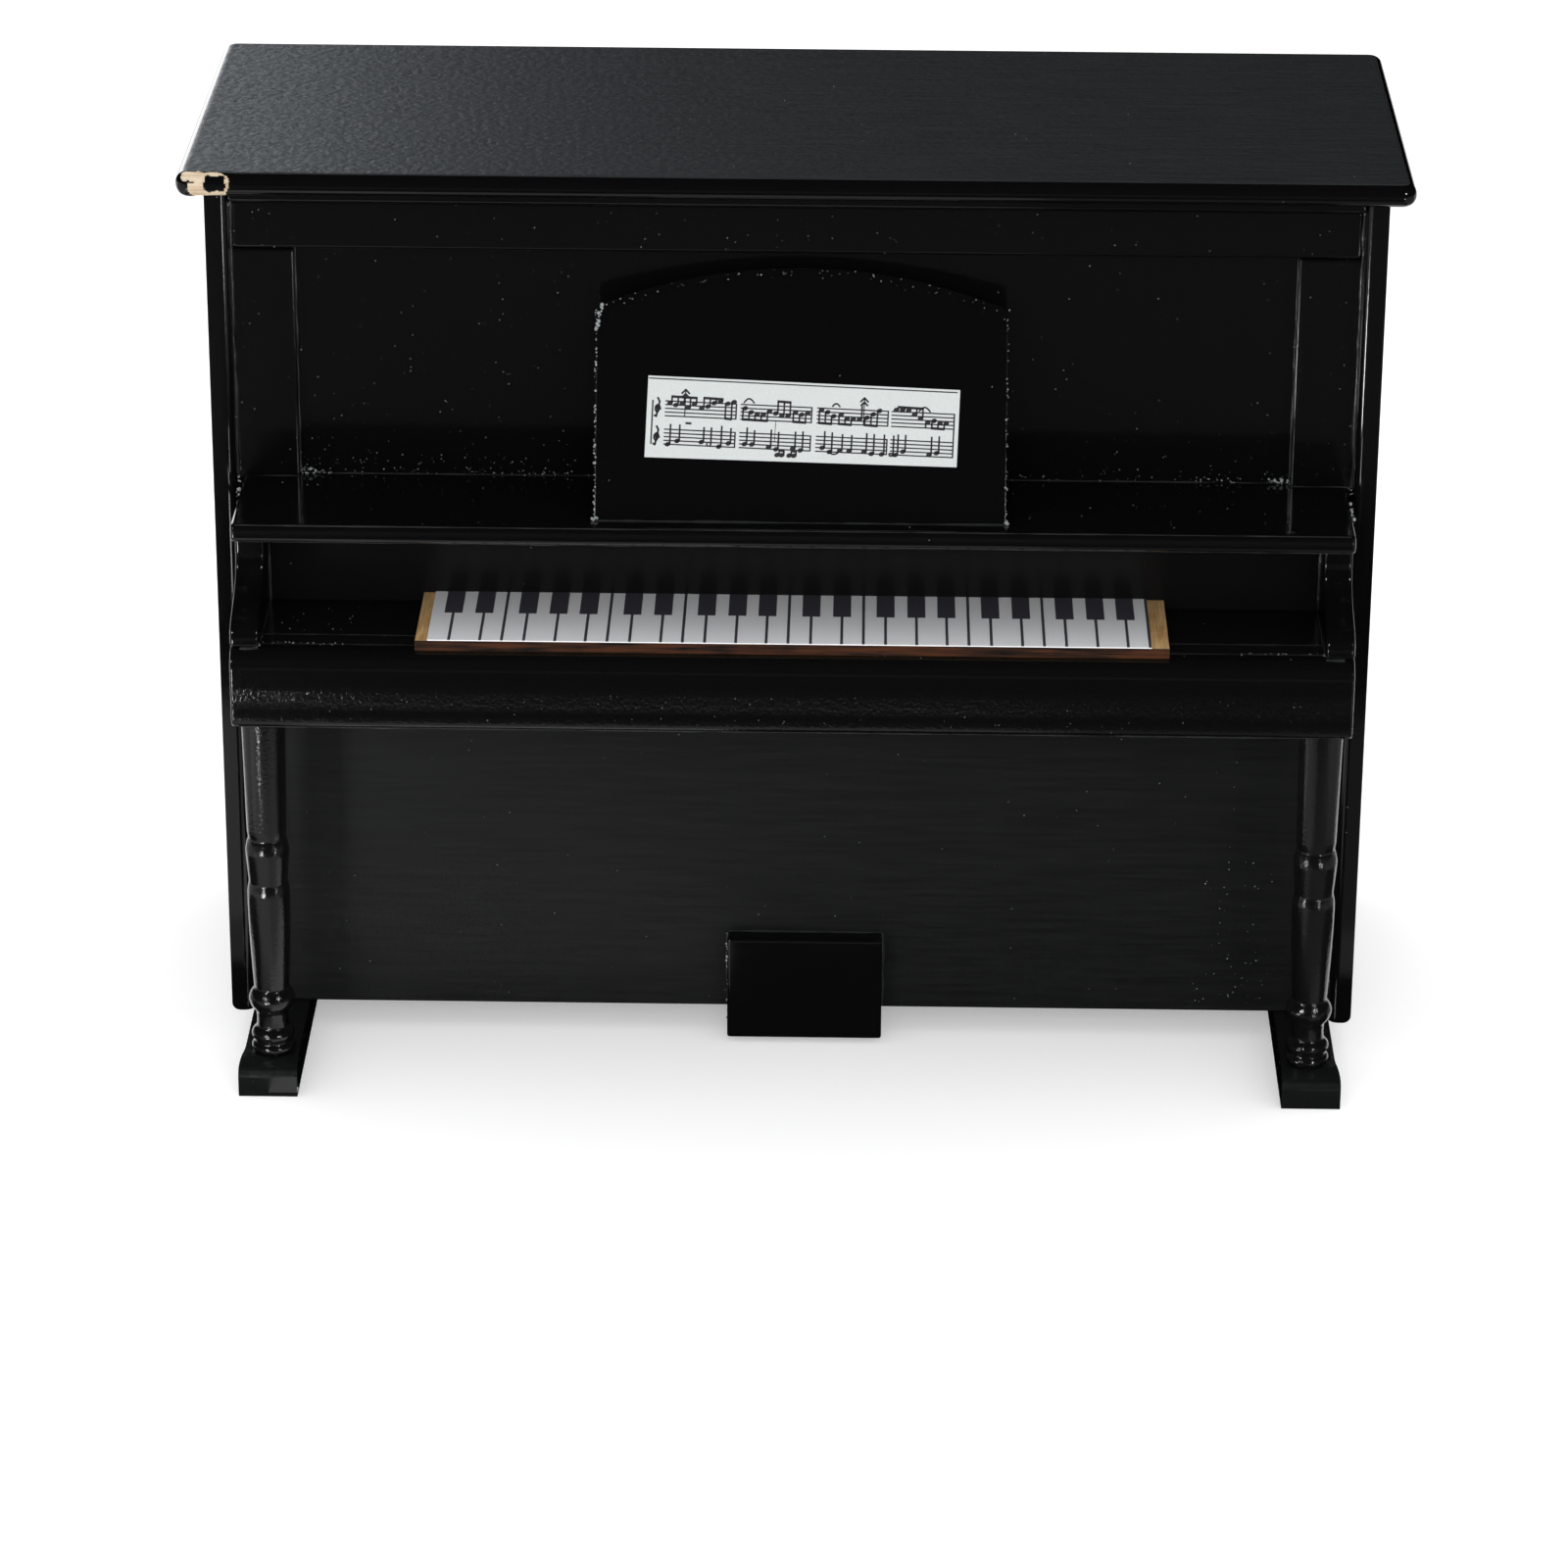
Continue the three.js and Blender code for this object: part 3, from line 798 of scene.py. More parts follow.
def turned_leg(node):
    """A leg spun round its own axis from the profile."""
    low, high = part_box(node)
    centre = (low + high) / 2
    profile = leg_profile()
    stretch = (high.z - low.z) / profile[-1][1]
    bm = bmesh.new()
    verts = [bm.verts.new((centre.x + radius * MM, centre.y, low.z + z * stretch))
             for radius, z in profile]
    edges = [bm.edges.new(pair) for pair in zip(verts, verts[1:])]
    bmesh.ops.spin(bm, geom=verts + edges, cent=(centre.x, centre.y, 0), axis=(0, 0, 1),
                   angle=math.tau, steps=LEG_SIDES, use_merge=True)
    bmesh.ops.remove_doubles(bm, verts=bm.verts, dist=0.002 * MM)
    bmesh.ops.recalc_face_normals(bm, faces=bm.faces)
    keep_piece(bm, node + "_turned", [leg_gloss], [node], smooth_degrees=60)
    print(node, "is", round((high.z - low.z) / MM, 1), "mm tall with", len(profile), "profile points")


turned_leg("left_leg")
turned_leg("right_leg")

# %% [markdown]
# ## Runners
# A runner is a flat bar under each side. Its front end slopes down to a rounded nose, and the last few
# millimetres flare outward a little, where the paint is thick. The flare is made by cutting rings into
# the toe and pushing their outer points sideways by a smooth amount.

# %% Runners
def runner(node):
    """A runner with a sloping, flaring toe."""
    low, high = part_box(node)
    outward = -1 if node.startswith("left") else 1
    bm = cube_between(low, high)
    slope_length, nose_drop = 1.8 * MM, 1.0 * MM
    cut_across(bm, (0, low.y + slope_length, 0), (0, 1, 0))
    for vert in bm.verts:
        if vert.co.z > low.z and vert.co.y < low.y + slope_length / 2:
            vert.co.z -= nose_drop
    round_edges(bm, edges_at(bm, y=low.y + slope_length, z=high.z), 0.9 * MM, 5)
    round_edges(bm, edges_at(bm, y=low.y, z=high.z - nose_drop), 0.8 * MM, 5)
    flare_length, flare, rings = 4.5 * MM, 0.45 * MM, 5
    for i in range(1, rings + 1):
        cut_across(bm, (0, low.y + flare_length * i / rings, 0), (0, 1, 0))
    outer = high.x if outward > 0 else low.x
    for vert in bm.verts:
        if abs(vert.co.x - outer) < 0.01 * MM and vert.co.y < low.y + flare_length:
            t = (low.y + flare_length - vert.co.y) / flare_length
            vert.co.x += outward * flare * t * t * (3 - 2 * t)
    round_edges(bm, sharp_edges(bm), 0.45 * MM, 4)
    keep_lacquered(bm, node, toe_satin)
    print(node, "is", round((high.y - low.y) / MM, 1), "mm long")


runner("left_runner")
runner("right_runner")

# %% [markdown]
# ## The key strip and its printed keys
# The keys are one strip of printed label on a thin wooden strip. The print is ink, yet it is made as very
# thin raised bars here, so that every edge stays crisp at any distance and in any program. An octave is
# 19.53 mm. Inside it, five black keys stand over the lines between their neighbours, and the two lines
# that have no black key, after the third and the seventh white key, run the full depth.

# %% Key strip and keyboard print
OCTAVE = 19.53 * MM
OCTAVES = 4
BLACK_KEYS = [n * MM for n in (2.40, 5.75, 10.5, 13.86, 17.14)]
FULL_LINES = [n * MM for n in (8.1, 19.5)]
LINE_WIDTH = 0.3 * MM
BLACK_KEY_WIDTH = 1.95 * MM
BLACK_KEY_LENGTH = 6.3 * MM
INK_THICKNESS = 0.02 * MM


def add_part(bm, part):
    """Copies one bmesh into another and frees it."""
    carrier = bpy.data.meshes.new("carrier")
    part.to_mesh(carrier)
    part.free()
    bm.from_mesh(carrier)
    bpy.data.meshes.remove(carrier)


def key_strip():
    """The strip of wood, bare on top and stained along its front."""
    low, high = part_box("key_strip")
    bm = shaped_board(low, high, edge_mm=0.06)
    for face in bm.faces:
        face.material_index = 1 if face.normal.y < -0.5 else 0
    keep_piece(bm, "key_strip_sawn", [bare_basswood, stained_basswood], ["key_strip"])


def key_print():
    """The paper label and the bars of ink on it."""
    low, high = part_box("keyboard_paper")
    keep_piece(shaped_board(low, high, edge_mm=0.03), "keyboard_label", [key_paper],
               ["keyboard_paper"])
    print_shift = 0.05 * MM
    first = low.x - print_shift
    ink_low, ink_high = high.z - INK_THICKNESS / 2, high.z + INK_THICKNESS
    bm = bmesh.new()
    printed_bars = []
    for octave in range(OCTAVES):
        start = first + octave * OCTAVE
        for key in BLACK_KEYS:
            printed_bars.append((start + key, BLACK_KEY_WIDTH, high.y - BLACK_KEY_LENGTH, high.y))
            printed_bars.append((start + key, LINE_WIDTH, low.y, high.y - BLACK_KEY_LENGTH))
        for line in FULL_LINES:
            printed_bars.append((start + line, LINE_WIDTH, low.y, high.y))
    for x, bar_width, y0, y1 in printed_bars:
        left, right_side = max(x - bar_width / 2, low.x), min(x + bar_width / 2, high.x)
        add_part(bm, cube_between(Vector((left, y0, ink_low)), Vector((right_side, y1, ink_high))))
    keep_piece(bm, "keyboard_ink", [key_ink])
    print("printed bars on the keys:", len(printed_bars))


key_strip()
key_print()

# %% [markdown]
# ## The music desk
# The desk is a board with a shallow arch for its top edge. It leans back on the upper panel, so it is
# built flat, with its foot at the origin and its face towards +Z, and one matrix then turns it and
# stands it on the shelf. Its foot is cut level with the shelf after it has been turned.

# %% The music desk
DESK_LEAN = math.radians(25.3)
DESK_X = 0.75 * MM
DESK_WIDTH = 44.2 * MM
DESK_HEIGHT = 27.5 * MM
DESK_SHOULDER = 23.2 * MM
DESK_THICKNESS = 2 * MM
desk_foot_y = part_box("music_desk")[0].y
shelf_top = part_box("keyboard_shelf")[1].z
desk_stand = (Matrix.Translation((DESK_X, desk_foot_y, shelf_top))
              @ Matrix.Rotation(math.pi / 2 - DESK_LEAN, 4, "X"))


def arch_points(steps=28):
    """The desk's top edge from its right shoulder to its left one, as part of a circle."""
    half = DESK_WIDTH / 2
    rise = DESK_HEIGHT - DESK_SHOULDER
    radius = (half ** 2 + rise ** 2) / (2 * rise)
    reach = math.asin(half / radius)
    for i in range(steps + 1):
        angle = reach - 2 * reach * i / steps
        yield radius * math.sin(angle), DESK_HEIGHT - radius + radius * math.cos(angle)


def music_desk():
    """The desk, made a little too long, stood in its place and sawn off level with the shelf."""
    half = DESK_WIDTH / 2
    spare = 1.5 * MM
    outline = [(-half, -spare), (half, -spare), *arch_points()]
    bm = outlined_board([(x, y, -DESK_THICKNESS) for x, y in outline], (0, 0, DESK_THICKNESS))
    round_edges(bm, sharp_edges(bm), 0.13 * MM, 3)
    bmesh.ops.transform(bm, matrix=desk_stand, verts=bm.verts)
    saw_off(bm, (0, 0, shelf_top), (0, 0, -1))
    bmesh.ops.recalc_face_normals(bm, faces=bm.faces)
    keep_lacquered(bm, "music_desk", gloss_black)
    print("desk leans back by", round(math.degrees(DESK_LEAN), 1), "degrees")


music_desk()

# %% [markdown]
# ## The sheet of music
# The sheet is a label glued on the desk a little askew. It shows two staves in four groups of bars. The
# notes are made up here from a seeded random walk, so they are nobody's tune. Lines, stems and beams are
# thin boxes between two points, note heads are flat tilted discs, and slurs and clefs are
# chains of short lines.

# %% The sheet of music
SHEET_SIZE = (33.5 * MM, 8.8 * MM)
SHEET_UP = 10.7 * MM
SHEET_SHIFT = 0.15 * MM
SHEET_TILT = math.radians(-2.1)
SHEET_THICKNESS = 0.1 * MM
SHEET_TAPER = 0.055
sheet_place = (desk_stand @ Matrix.Translation((SHEET_SHIFT, SHEET_UP, 0))
               @ Matrix.Rotation(SHEET_TILT, 4, "Z")
               @ Matrix.Translation((-SHEET_SIZE[0] / 2, SHEET_SIZE[1] / 2, SHEET_THICKNESS)))


def ink_line(bm, start, end, width_mm):
    """A thin box between two points on the sheet, in mm from its top left corner, with +Y up it."""
    start, end = Vector(start) * MM, Vector(end) * MM
    run = end - start
    turn = Matrix.Rotation(math.atan2(run.y, run.x), 4, "Z")
    middle = ((start + end) / 2).to_3d()
    scale = Matrix.Diagonal((run.length + width_mm * MM * 0.6, width_mm * MM, INK_THICKNESS, 1))
    bmesh.ops.create_cube(bm, size=1, matrix=Matrix.Translation(middle) @ turn @ scale)


def note_head(bm, x, y, open_head=False):
    """A tilted oval, about one stave space tall."""
    tilt = Matrix.Rotation(math.radians(22), 4, "Z")
    oval = Matrix.Diagonal((0.32 * MM, 0.25 * MM, INK_THICKNESS, 1))
    place = Matrix.Translation((x * MM, y * MM, 0))
    if open_head:
        for i in range(8):
            a, b = (math.tau * n / 8 for n in (i, i + 1))
            ink_line(bm, (x + 0.24 * math.cos(a), y + 0.18 * math.sin(a)),
                     (x + 0.24 * math.cos(b), y + 0.18 * math.sin(b)), 0.13)
    else:
        bmesh.ops.create_cone(bm, cap_ends=True, segments=10, radius1=1, radius2=1, depth=1,
                              matrix=place @ tilt @ oval)


def chain(bm, points, width_mm):
    """A line of ink through several points."""
    for a, b in zip(points, points[1:]):
        ink_line(bm, a, b, width_mm)


def slur(bm, x0, x1, y, lift):
    """A shallow bow between two places, which bulges by lift."""
    steps = 8
    chain(bm, [(x0 + (x1 - x0) * i / steps, y + lift * math.sin(math.pi * i / steps))
               for i in range(steps + 1)], 0.17)


def clef(bm, x, y):
    """A generic curl standing on the stave: a spiral and a stem."""
    turns = [(x + 0.32 * (1 - i / 14) * math.cos(i * 0.85),
              y - 0.1 + 0.5 * (1 - i / 16) * math.sin(i * 0.85)) for i in range(12)]
    chain(bm, turns, 0.2)
    chain(bm, [(x, y + 1.1), (x + 0.2, y + 0.7), (x - 0.1, y - 0.9), (x - 0.3, y - 0.8)], 0.22)


STAVE_TOPS = (-2.65, -5.7)
STAVE_SPACE = 0.4
STAVE_LINES = 5
STAVE_HEIGHT = 1.6
STEM_WIDTH = 0.19
BAR_WIDTH = 0.16
NOTE_STEP = 0.66
BAR_GROUPS = ((2.0, 9.6), (10.1, 17.7), (18.3, 25.9), (26.3, 33.0))


def beamed_notes(bm, xs, ys, beam_y):
    """Notes whose stems run up or down to one beam."""
    side = 0.22 if beam_y > ys[0] else -0.22
    for x, y in zip(xs, ys):
        note_head(bm, x, y)
        ink_line(bm, (x + side, y), (x + side, beam_y), STEM_WIDTH)
    if len(xs) > 1:
        ink_line(bm, (xs[0] + side, beam_y), (xs[-1] + side, beam_y - 0.05), 0.28)


def write_melody(bm, dice, left, right_end, stave_top):
    """Fills one group of the upper stave with close beamed notes that wander up and down."""
    pitch = 0.0
    x = left + 0.45
    while x < right_end - 0.7:
        xs = [x + NOTE_STEP * i for i in range(dice.choice((1, 3, 4, 5)))
              if x + NOTE_STEP * i < right_end - 0.25]
        ys = []
        for _ in xs:
            pitch = min(max(pitch + dice.choice((-1, -0.5, 0.5, 1)), -0.5), 2.5)
            ys.append(stave_top - pitch * STAVE_SPACE)
        stems_down = dice.random() < 0.65
        beam_y = stave_top - 4 * STAVE_SPACE if stems_down else stave_top + 0.5
        beamed_notes(bm, xs, ys, beam_y)
        x = xs[-1] + dice.choice((NOTE_STEP, 0.8))


def write_bass(bm, dice, left, right_end, stave_top):
    """Fills one group of the lower stave with pairs of tall-stemmed notes."""
    x = left + dice.uniform(0.4, 0.7)
    while x < right_end - 0.5:
        for shift in (0, dice.choice((0.8, 1.0))):
            y = stave_top - dice.choice((3, 3.5, 4)) * STAVE_SPACE
            note_head(bm, x + shift, y, open_head=dice.random() < 0.15)
            ink_line(bm, (x + shift + 0.22, y), (x + shift + 0.22, stave_top + dice.uniform(0.2, 0.6)),
                     STEM_WIDTH)
        x += dice.choice((1.9, 2.6, 3.6))


def sheet_of_music():
    """The paper and all the ink on it. Loose marks are placed in mm from the top left corner."""
    low = Vector((0, -SHEET_SIZE[1], -SHEET_THICKNESS))
    paper = shaped_board(low, Vector((SHEET_SIZE[0], 0, 0)), edge_mm=0.03)
    for vert in paper.verts:
        vert.co.y *= 1 - SHEET_TAPER * vert.co.x / SHEET_SIZE[0]
    bmesh.ops.transform(paper, matrix=sheet_place, verts=paper.verts)
    keep_piece(paper, "music_sheet_label", [music_paper], ["music_sheet"])
    dice = random.Random(12)
    ink = bmesh.new()
    bottom = STAVE_TOPS[1] - 4 * STAVE_SPACE
    for stave_top in STAVE_TOPS:
        for left, right_end in BAR_GROUPS:
            for i in range(STAVE_LINES):
                y = stave_top - i * STAVE_SPACE
                ink_line(ink, (left, y), (right_end, y), 0.14)
        clef(ink, 1.15, stave_top - 0.8)
        for left, right_end in BAR_GROUPS[:-1]:
            ink_line(ink, (right_end, stave_top), (right_end, stave_top - STAVE_HEIGHT), BAR_WIDTH)
    for left, right_end in BAR_GROUPS:
        write_melody(ink, dice, left, right_end, STAVE_TOPS[0])
        write_bass(ink, dice, left, right_end, STAVE_TOPS[1])
    for x in (0.62, 33.0):
        ink_line(ink, (x, STAVE_TOPS[0]), (x, bottom), BAR_WIDTH)
    for x in (4.1, 23.3):
        chain(ink, [(x - 0.4, -1.75), (x, -1.35), (x + 0.4, -1.75)], 0.2)
        chain(ink, [(x - 0.35, -2.15), (x, -1.8), (x + 0.35, -2.15)], 0.2)
        ink_line(ink, (x, -1.4), (x, -4.2), 0.12)
    for x0, x1, y, lift in ((10.4, 11.5, -2.45, 0.45), (19.9, 20.7, -2.4, 0.3),
                            (29.2, 30.4, -2.5, 0.45), (19.6, 20.9, -7.2, -0.35)):
        slur(ink, x0, x1, y, lift)
    for x in (14.2, 15.5):
        beamed_notes(ink, [x, x + 0.5], [-7.9, -7.9], -7.4)
    ink_line(ink, (4.3, -4.95), (4.8, -4.95), 0.24)
    ink_line(ink, (13.9, -4.3), (13.85, -6.4), 0.07)
    ink_line(ink, (0.1, -0.28), (SHEET_SIZE[0] / MM - 0.3, -0.3), 0.13)
    print("ink faces on the sheet:", len(ink.faces))
    bmesh.ops.transform(ink, matrix=sheet_place, verts=ink.verts)
    keep_piece(ink, "music_sheet_ink", [music_ink])


sheet_of_music()

# %% [markdown]
# ## Paint that gathered in the seams, and painted highlight lines
# Wet lacquer creeps into a seam and dries as a thin, uneven, shiny cord. Each run below starts as a
# cylinder between two points, is cut into short lengths, and gets a radius that noise lets swell and
# thin out. Half of it lies under the boards' surfaces, as on the real piano. The cords are a light grey,
# a painted highlight, and those along the shelf's front edges, the cornice and the slip's lower edge are
# painted highlight lines more than seams.

# %% Paint runs
def paint_run(bm, start, end, radius_mm):
    """A wobbling cord of paint between two points given in mm."""
    start, end = at(*start), at(*end)
    length = (end - start).length
    part = bmesh.new()
    bmesh.ops.create_cone(part, cap_ends=True, segments=8, radius1=1, radius2=1, depth=1)
    long_edges = [edge for edge in part.edges if abs(edge.verts[0].co.z - edge.verts[1].co.z) > 0.5]
    cuts = max(2, min(60, int(length / (0.9 * MM))))
    bmesh.ops.subdivide_edges(part, edges=long_edges, cuts=cuts)
    turn = (end - start).to_track_quat("Z", "Y")
    for vert in part.verts:
        t = vert.co.z + 0.5
        place = start.lerp(end, t)
        swell = 0.62 + 0.75 * noise.noise(place * 420) + 0.35 * noise.noise(place * 1500)
        radius = radius_mm * MM * max(swell, 0.12)
        vert.co = place + turn @ Vector((vert.co.x * radius, vert.co.y * radius, 0))
    add_part(bm, part)


# The places of the main faces, in mm, as the runs and beads need them
panel_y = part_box("upper_front_panel")[0].y / MM
lower_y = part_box("lower_front_panel")[0].y / MM
frame_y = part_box("top_rail")[0].y / MM
stile_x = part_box("right_stile")[0].x / MM
side_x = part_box("right_side_panel")[0].x / MM
shelf_z = shelf_top / MM
shelf_low, shelf_high = (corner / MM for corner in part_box("keyboard_shelf"))
rail_low, rail_high = (corner.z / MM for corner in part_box("top_rail"))
bed_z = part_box("key_bed")[1].z / MM
bed_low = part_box("key_bed")[0].z / MM
cheek_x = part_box("right_key_cheek")[0].x / MM
strip_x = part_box("key_strip")[1].x / MM
slip_joint_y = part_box("key_slip")[1].y / MM
bed_front_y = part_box("key_slip")[0].y / MM
desk_left, desk_right = (corner.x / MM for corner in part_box("music_desk"))
pedal_low, pedal_high = (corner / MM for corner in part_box("pedal_block"))
fallboard_y = panel_y - 1.5
bed_seam_y = slip_joint_y + 2.8
case_foot_z = 4.2
slip_half = 60
shelf_edge_y = shelf_low.y + 0.3
shelf_ends = (shelf_low.x + 0.5, shelf_high.x - 0.5)

# each seam or painted highlight line: where it starts, where it ends, and the radius of its paint, all in
# mm
seams = []
for side in (-1, 1):
    side_seam, stile_seam, cheek_seam = side * side_x, side * stile_x, side * cheek_x
    desk_edge = desk_left if side < 0 else desk_right
    toe_y, toe_z = bed_front_y + 1.35, bed_z - 0.12
    seams += [
        ((side_seam, frame_y, shelf_z), (side_seam, frame_y, rail_high), 0.4),
        ((stile_seam, panel_y, shelf_z), (stile_seam, panel_y, rail_low), 0.2),
        ((side_seam, panel_y, case_foot_z), (side_seam, panel_y, bed_low), 0.5),
        ((cheek_seam, slip_joint_y, bed_z), (cheek_seam, fallboard_y, bed_z), 0.3),
        ((cheek_seam, slip_joint_y, bed_z), (side * strip_x, slip_joint_y, bed_z), 0.09),
        ((cheek_seam, bed_seam_y, bed_z), (side * strip_x, bed_seam_y, bed_z), 0.1),
        ((cheek_seam, fallboard_y, bed_z), (cheek_seam, fallboard_y, shelf_z - 2.2), 0.3),
        ((cheek_seam, toe_y, toe_z), (side * (cheek_x + 2), toe_y, toe_z), 0.26),
        ((desk_edge, panel_y, shelf_z), (stile_seam, panel_y, shelf_z), 0.14),
        ((stile_seam, frame_y, shelf_z), (side_seam, frame_y, shelf_z), 0.14),
    ]
seams += [((-stile_x, panel_y, rail_low), (stile_x, panel_y, rail_low), 0.24)]
# cords along the shelf's front edges: painted highlight lines, not seams
for z, radius_mm in ((shelf_z - 0.12, 0.1), (shelf_low.z + 0.12, 0.09)):
    seams += [((shelf_ends[0], shelf_edge_y, z), (shelf_ends[1], shelf_edge_y, z), radius_mm)]
# a pair of cords along the rail's top and the cornice: painted highlight lines
for y, z in ((frame_y, rail_high), (frame_y - 1.6, rail_high + 1.4)):
    seams += [((-side_x, y, z), (side_x, y, z), 0.35)]
# a drip along the slip's lower edge; its light grey is a painted highlight line
slip_edge = (bed_front_y + 0.22, bed_low + 0.22)
seams += [((-slip_half, *slip_edge), (slip_half, *slip_edge), 0.12)]
for x in (pedal_low.x, pedal_high.x):
    seams += [((x, panel_y, case_foot_z), (x, panel_y, pedal_high.z), 0.35)]
seams += [
    ((pedal_low.x, panel_y, pedal_high.z), (pedal_high.x, panel_y, pedal_high.z), 0.2),
    ((desk_left, desk_foot_y / MM, shelf_z), (desk_right, desk_foot_y / MM, shelf_z), 0.22),
]
runs = bmesh.new()
for start, end, radius_mm in seams:
    paint_run(runs, start, end, radius_mm)
print("faces in the seam runs:", len(runs.faces))
# the cords' light grey colour is a painted highlight
keep_piece(runs, "paint_runs_in_seams_painted_light_grey", [thick_runs_painted_highlight], smooth_degrees=75)

# %% [markdown]
# ## Beads and blisters of paint
# Where a run met dust it dried in beads a tenth or two of a millimetre across, and each one glints. Their
# pale grey colour is a painted glint. They are tiny spheres, half sunk, sown along a line by a seeded
# generator. Small ones are far more common than large ones, which squaring the random number gives.

# %% Paint beads
def sow_beads(bm, dice, start, end, count, spread_mm, smallest, largest):
    """Sows beads along a line given in mm, off it by up to spread_mm on each axis."""
    for _ in range(count):
        place = at(*start).lerp(at(*end), dice.random())
        place += at(*(dice.uniform(-reach, reach) for reach in spread_mm))
        radius = (smallest + (largest - smallest) * dice.random() ** 2) * MM
        flat = Matrix.Diagonal((1, dice.uniform(0.6, 1), dice.uniform(0.7, 1.2), 1))
        bmesh.ops.create_icosphere(bm, subdivisions=1, radius=radius,
                                   matrix=Matrix.Translation(place) @ flat)


def desk_place(x_mm, up_mm):
    """A place on the desk's face, in mm, from its middle and its foot."""
    return (desk_stand @ at(x_mm, up_mm, 0)) / MM


dice = random.Random(7)
half_desk = DESK_WIDTH / MM / 2
shoulder = DESK_SHOULDER / MM
ON_FACE = (0.12, 0.03, 0.15)
# each row: start, end, count, spread on each axis, smallest and largest radius, all in mm
bead_rows = [
    (desk_place(-half_desk, 0.3), desk_place(-half_desk, shoulder), 72, ON_FACE, 0.05, 0.16),
    (desk_place(-half_desk, 20.5), desk_place(-half_desk + 0.6, shoulder + 0.3), 26, ON_FACE, 0.1, 0.26),
    (desk_place(-half_desk - 0.2, 0.1), desk_place(-half_desk + 0.4, 0.4), 10, ON_FACE, 0.1, 0.26),
    (desk_place(half_desk, 0.3), desk_place(half_desk, shoulder), 34, ON_FACE, 0.05, 0.14),
    (desk_place(half_desk, 0.1), desk_place(half_desk + 0.2, 0.4), 8, ON_FACE, 0.1, 0.22),
]
arch = [(x / MM, y / MM) for x, y in arch_points(16)]
ON_ARCH = (0.4, 0.03, 0.1)
for (x0, y0), (x1, y1) in zip(arch, arch[1:]):
    bead_rows += [(desk_place(x0, y0 - 0.1), desk_place(x1, y1 - 0.9), 3, ON_ARCH, 0.04, 0.1),
                  (desk_place(x0, y0 - 1.3), desk_place(x1, y1 - 0.1), 2, ON_ARCH, 0.03, 0.07)]
for side in (-1, 1):
    bead_rows += [
        ((side * (stile_x - 1), panel_y - 0.05, shelf_z + 0.3),
         (side * (stile_x - 32), panel_y - 0.05, shelf_z + 0.3), 26, (0.4, 0.1, 0.35), 0.04, 0.1),
        ((side * stile_x, panel_y - 0.2, shelf_z + 0.3),
         (side * (stile_x - 2.5), panel_y - 0.2, shelf_z + 0.4), 22, (0.2, 0.15, 0.3), 0.06, 0.2),
        ((side * cheek_x, slip_joint_y, bed_z),
         (side * (cheek_x + 0.8), slip_joint_y - 0.9, bed_z), 16, (0.4, 0.3, 0.1), 0.06, 0.22),
        ((side * cheek_x, slip_joint_y + 0.3, bed_z),
         (side * (cheek_x - 9), slip_joint_y + 0.1, bed_z), 26, (0.3, 0.25, 0.03), 0.04, 0.1),
        ((side * side_x, frame_y - 0.4, rail_high - 0.5),
         (side * (side_x + 1.2), frame_y - 1.6, rail_high + 1), 14, (0.3, 0.2, 0.4), 0.06, 0.22),
        ((side * 60.4, -22, 66.5), (side * 60.6, -15, 68.2), 16, (0.15, 1.5, 0.5), 0.06, 0.25),
    ]
pedal_edge = (pedal_low.x, pedal_low.y + 0.4)
slip_reach, slip_y = 44, slip_joint_y - 1
bead_rows += [((*pedal_edge, 3), (*pedal_edge, 12.5), 26, (0.12, 0.3, 0.2), 0.05, 0.18),
              ((-slip_reach, slip_y, bed_z), (slip_reach, slip_y, bed_z), 20, (1, 0.6, 0.02), 0.04, 0.1)]
# beads at the toes' corners, painted pale as glints
for side in ("left", "right"):
    toe_low, toe_high = (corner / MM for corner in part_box(side + "_runner"))
    for x in (toe_low.x + 0.35, toe_high.x - 0.35):
        place = (x, toe_low.y + 0.2, 0.8)
        bead_rows += [(place, place, 2, (0.08, 0.03, 0.15), 0.14, 0.26)]
beads = bmesh.new()
for row in bead_rows:
    sow_beads(beads, dice, *row)
print("faces in the beads:", len(beads.faces))
keep_piece(beads, "paint_beads_painted_pale_as_glints", [froth_dust_and_painted_glints], smooth_degrees=120)

# %% [markdown]
# ## Dust in the paint
# Grains of dust, a few hundredths of a millimetre across, stand pale on the black. They fell thickest
# along the seam of the shelf and thinned out upwards, so their height is a random number raised to a
# power above one.

# %% Dust specks
def sow_dust(bm, dice, low, high, count, crowding=(1, 1, 1), largest=0.07, smallest=0.025):
    """Scatters grains in a box given in mm; a crowding above 1 gathers them at an axis's low end."""
    for _ in range(count):
        place = at(*(a + (b - a) * dice.random() ** power
                     for a, b, power in zip(low, high, crowding)))
        radius = (smallest + (largest - smallest) * dice.random() ** 2) * MM
        bmesh.ops.create_icosphere(bm, subdivisions=1, radius=radius, matrix=Matrix.Translation(place))


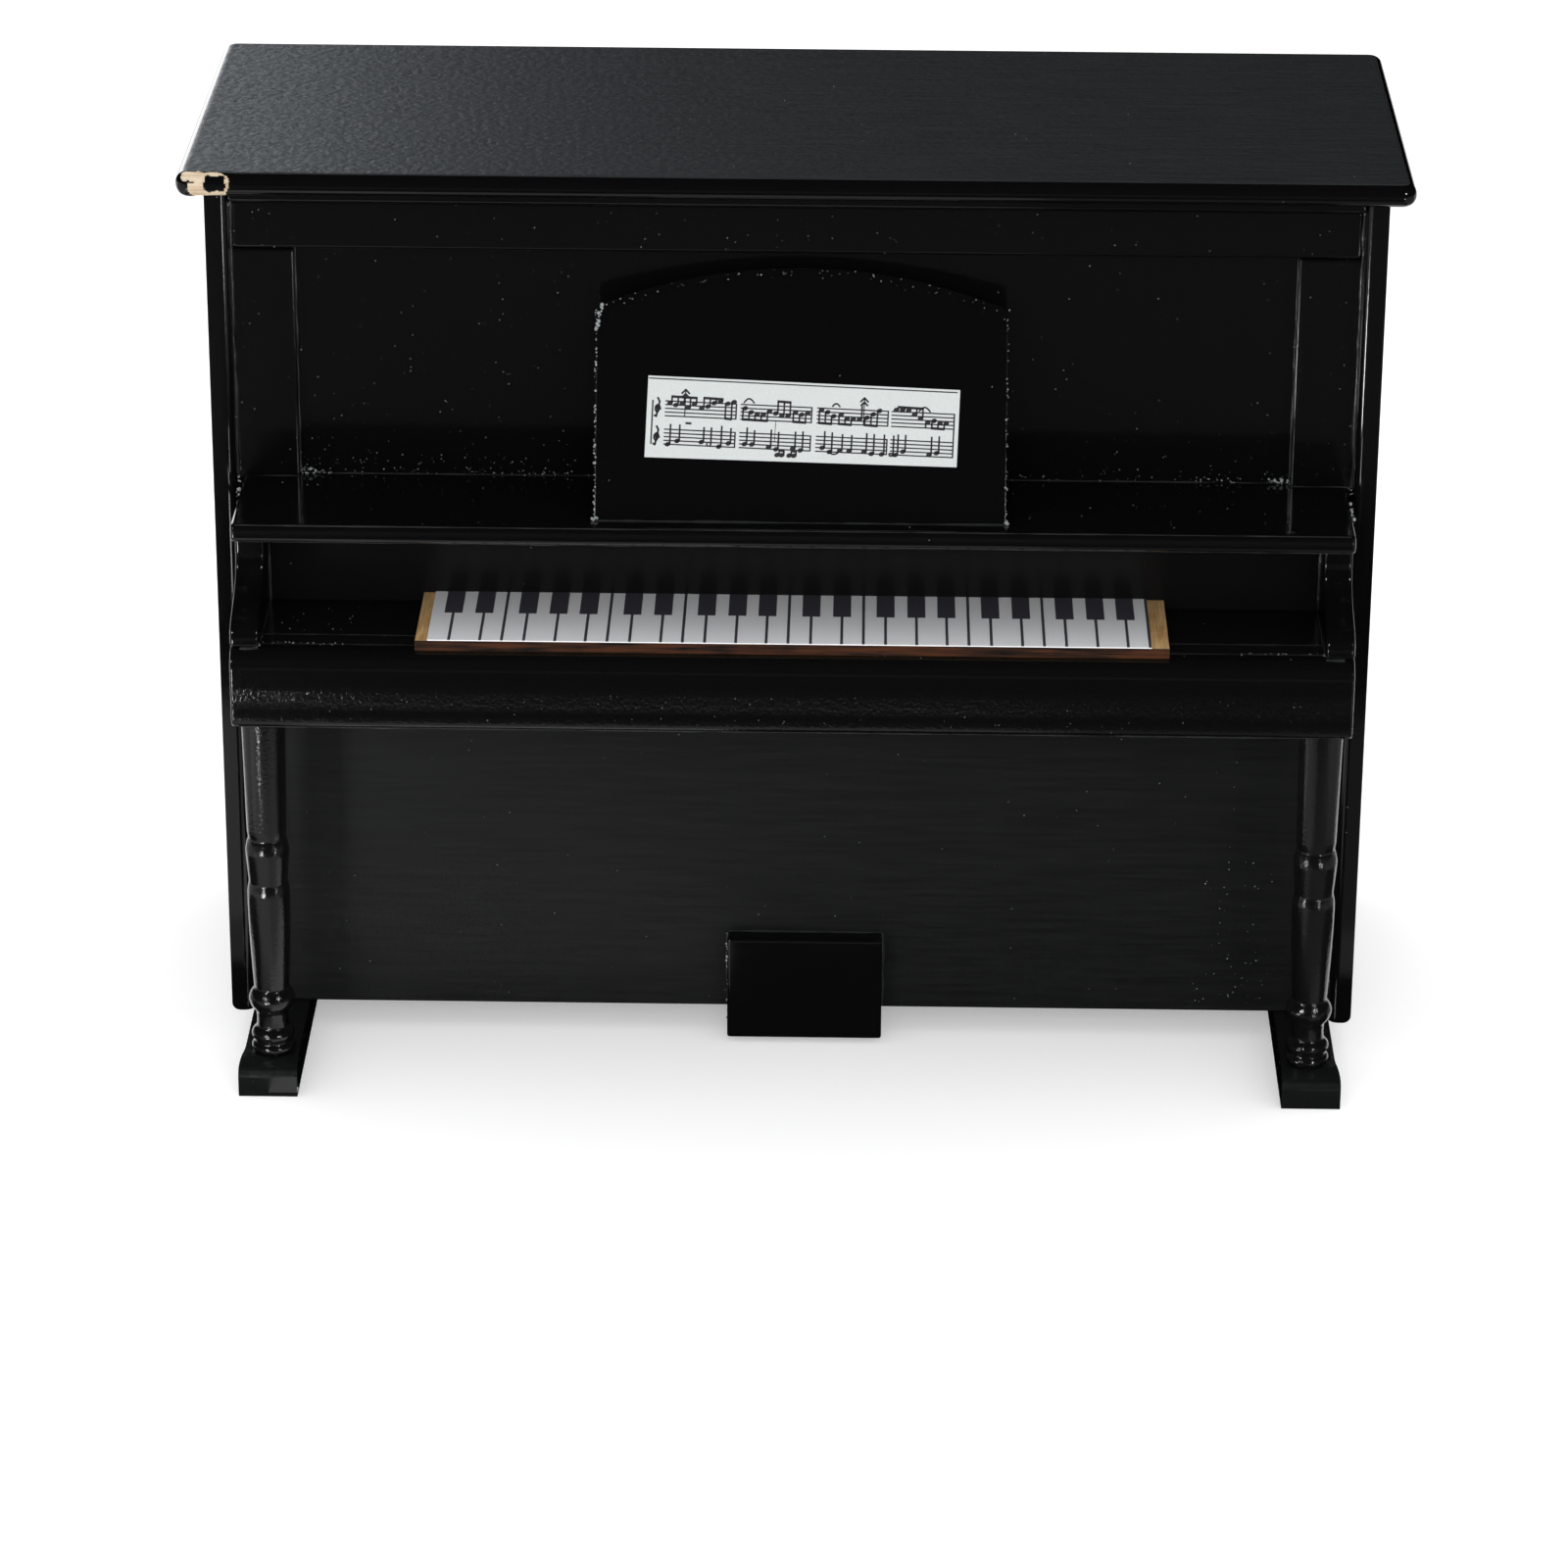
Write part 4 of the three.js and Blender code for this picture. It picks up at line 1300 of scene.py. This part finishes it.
field_y = (panel_y - 0.03, panel_y)
lid_z = lid_high.z / MM
RECESS_HALF = 56
EVENLY = (1, 1, 1)
# each patch of dust: lowest and highest corner in mm, count, crowding on each axis, largest radius
dust_patches = [
    ((-stile_x, field_y[0], shelf_z), (-24, field_y[1], rail_low), 170, (1, 1, 1.8)),
    ((-stile_x, field_y[0], shelf_z), (-24, field_y[1], shelf_z + 2.5), 50, (1, 1, 1.5), 0.08),
    ((24, field_y[0], shelf_z), (stile_x, field_y[1], rail_low), 70, (1, 1, 2)),
    ((26, field_y[0], shelf_z), (stile_x, field_y[1], shelf_z + 1.5), 36, (1, 1, 1.5), 0.08),
]
for side in (-1, 1):
    inner, outer = sorted((side * stile_x, side * side_x))
    dust_patches += [((inner, frame_y - 0.02, shelf_z), (outer, frame_y, rail_high), 26)]
dust_patches += [
    ((-side_x, frame_y - 0.02, rail_low), (side_x, frame_y, rail_high), 70),
    ((-RECESS_HALF, shelf_low.y + 1, shelf_z), (RECESS_HALF, panel_y, shelf_z + 0.02), 60),
    ((-52, panel_y - 1.05, bed_z), (52, panel_y - 1, shelf_z - 3), 50),
    ((-RECESS_HALF, slip_joint_y + 0.5, bed_z), (-44, panel_y - 2, bed_z + 0.02), 16),
    ((-RECESS_HALF, bed_front_y - 0.02, 45.5), (RECESS_HALF, bed_front_y + 0.01, 49), 90, EVENLY, 0.06),
    ((-54, lower_y - 0.02, 5), (54, lower_y, 43), 60),
    ((44, lower_y - 0.02, 5), (54, lower_y, 26), 60, (0.6, 1, 1.6), 0.09),
    ((-64, -17, lid_z - 0.01), (64, 17, lid_z + 0.01), 30),
]
dust = bmesh.new()
for patch in dust_patches:
    sow_dust(dust, dice, *patch)
print("faces in the dust:", len(dust.faces))
keep_piece(dust, "dust_specks", [froth_dust_and_painted_glints], smooth_degrees=120)

# %% [markdown]
# ## The end
# No measured piece may be left showing with a plain finish, so any that was not rebuilt would get the
# lacquer here.

# %% Finish
for node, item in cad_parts.items():
    if not item.hide_render:
        item.data.materials.clear()
        item.data.materials.append(gloss_black)
        print("still the measured piece:", node)
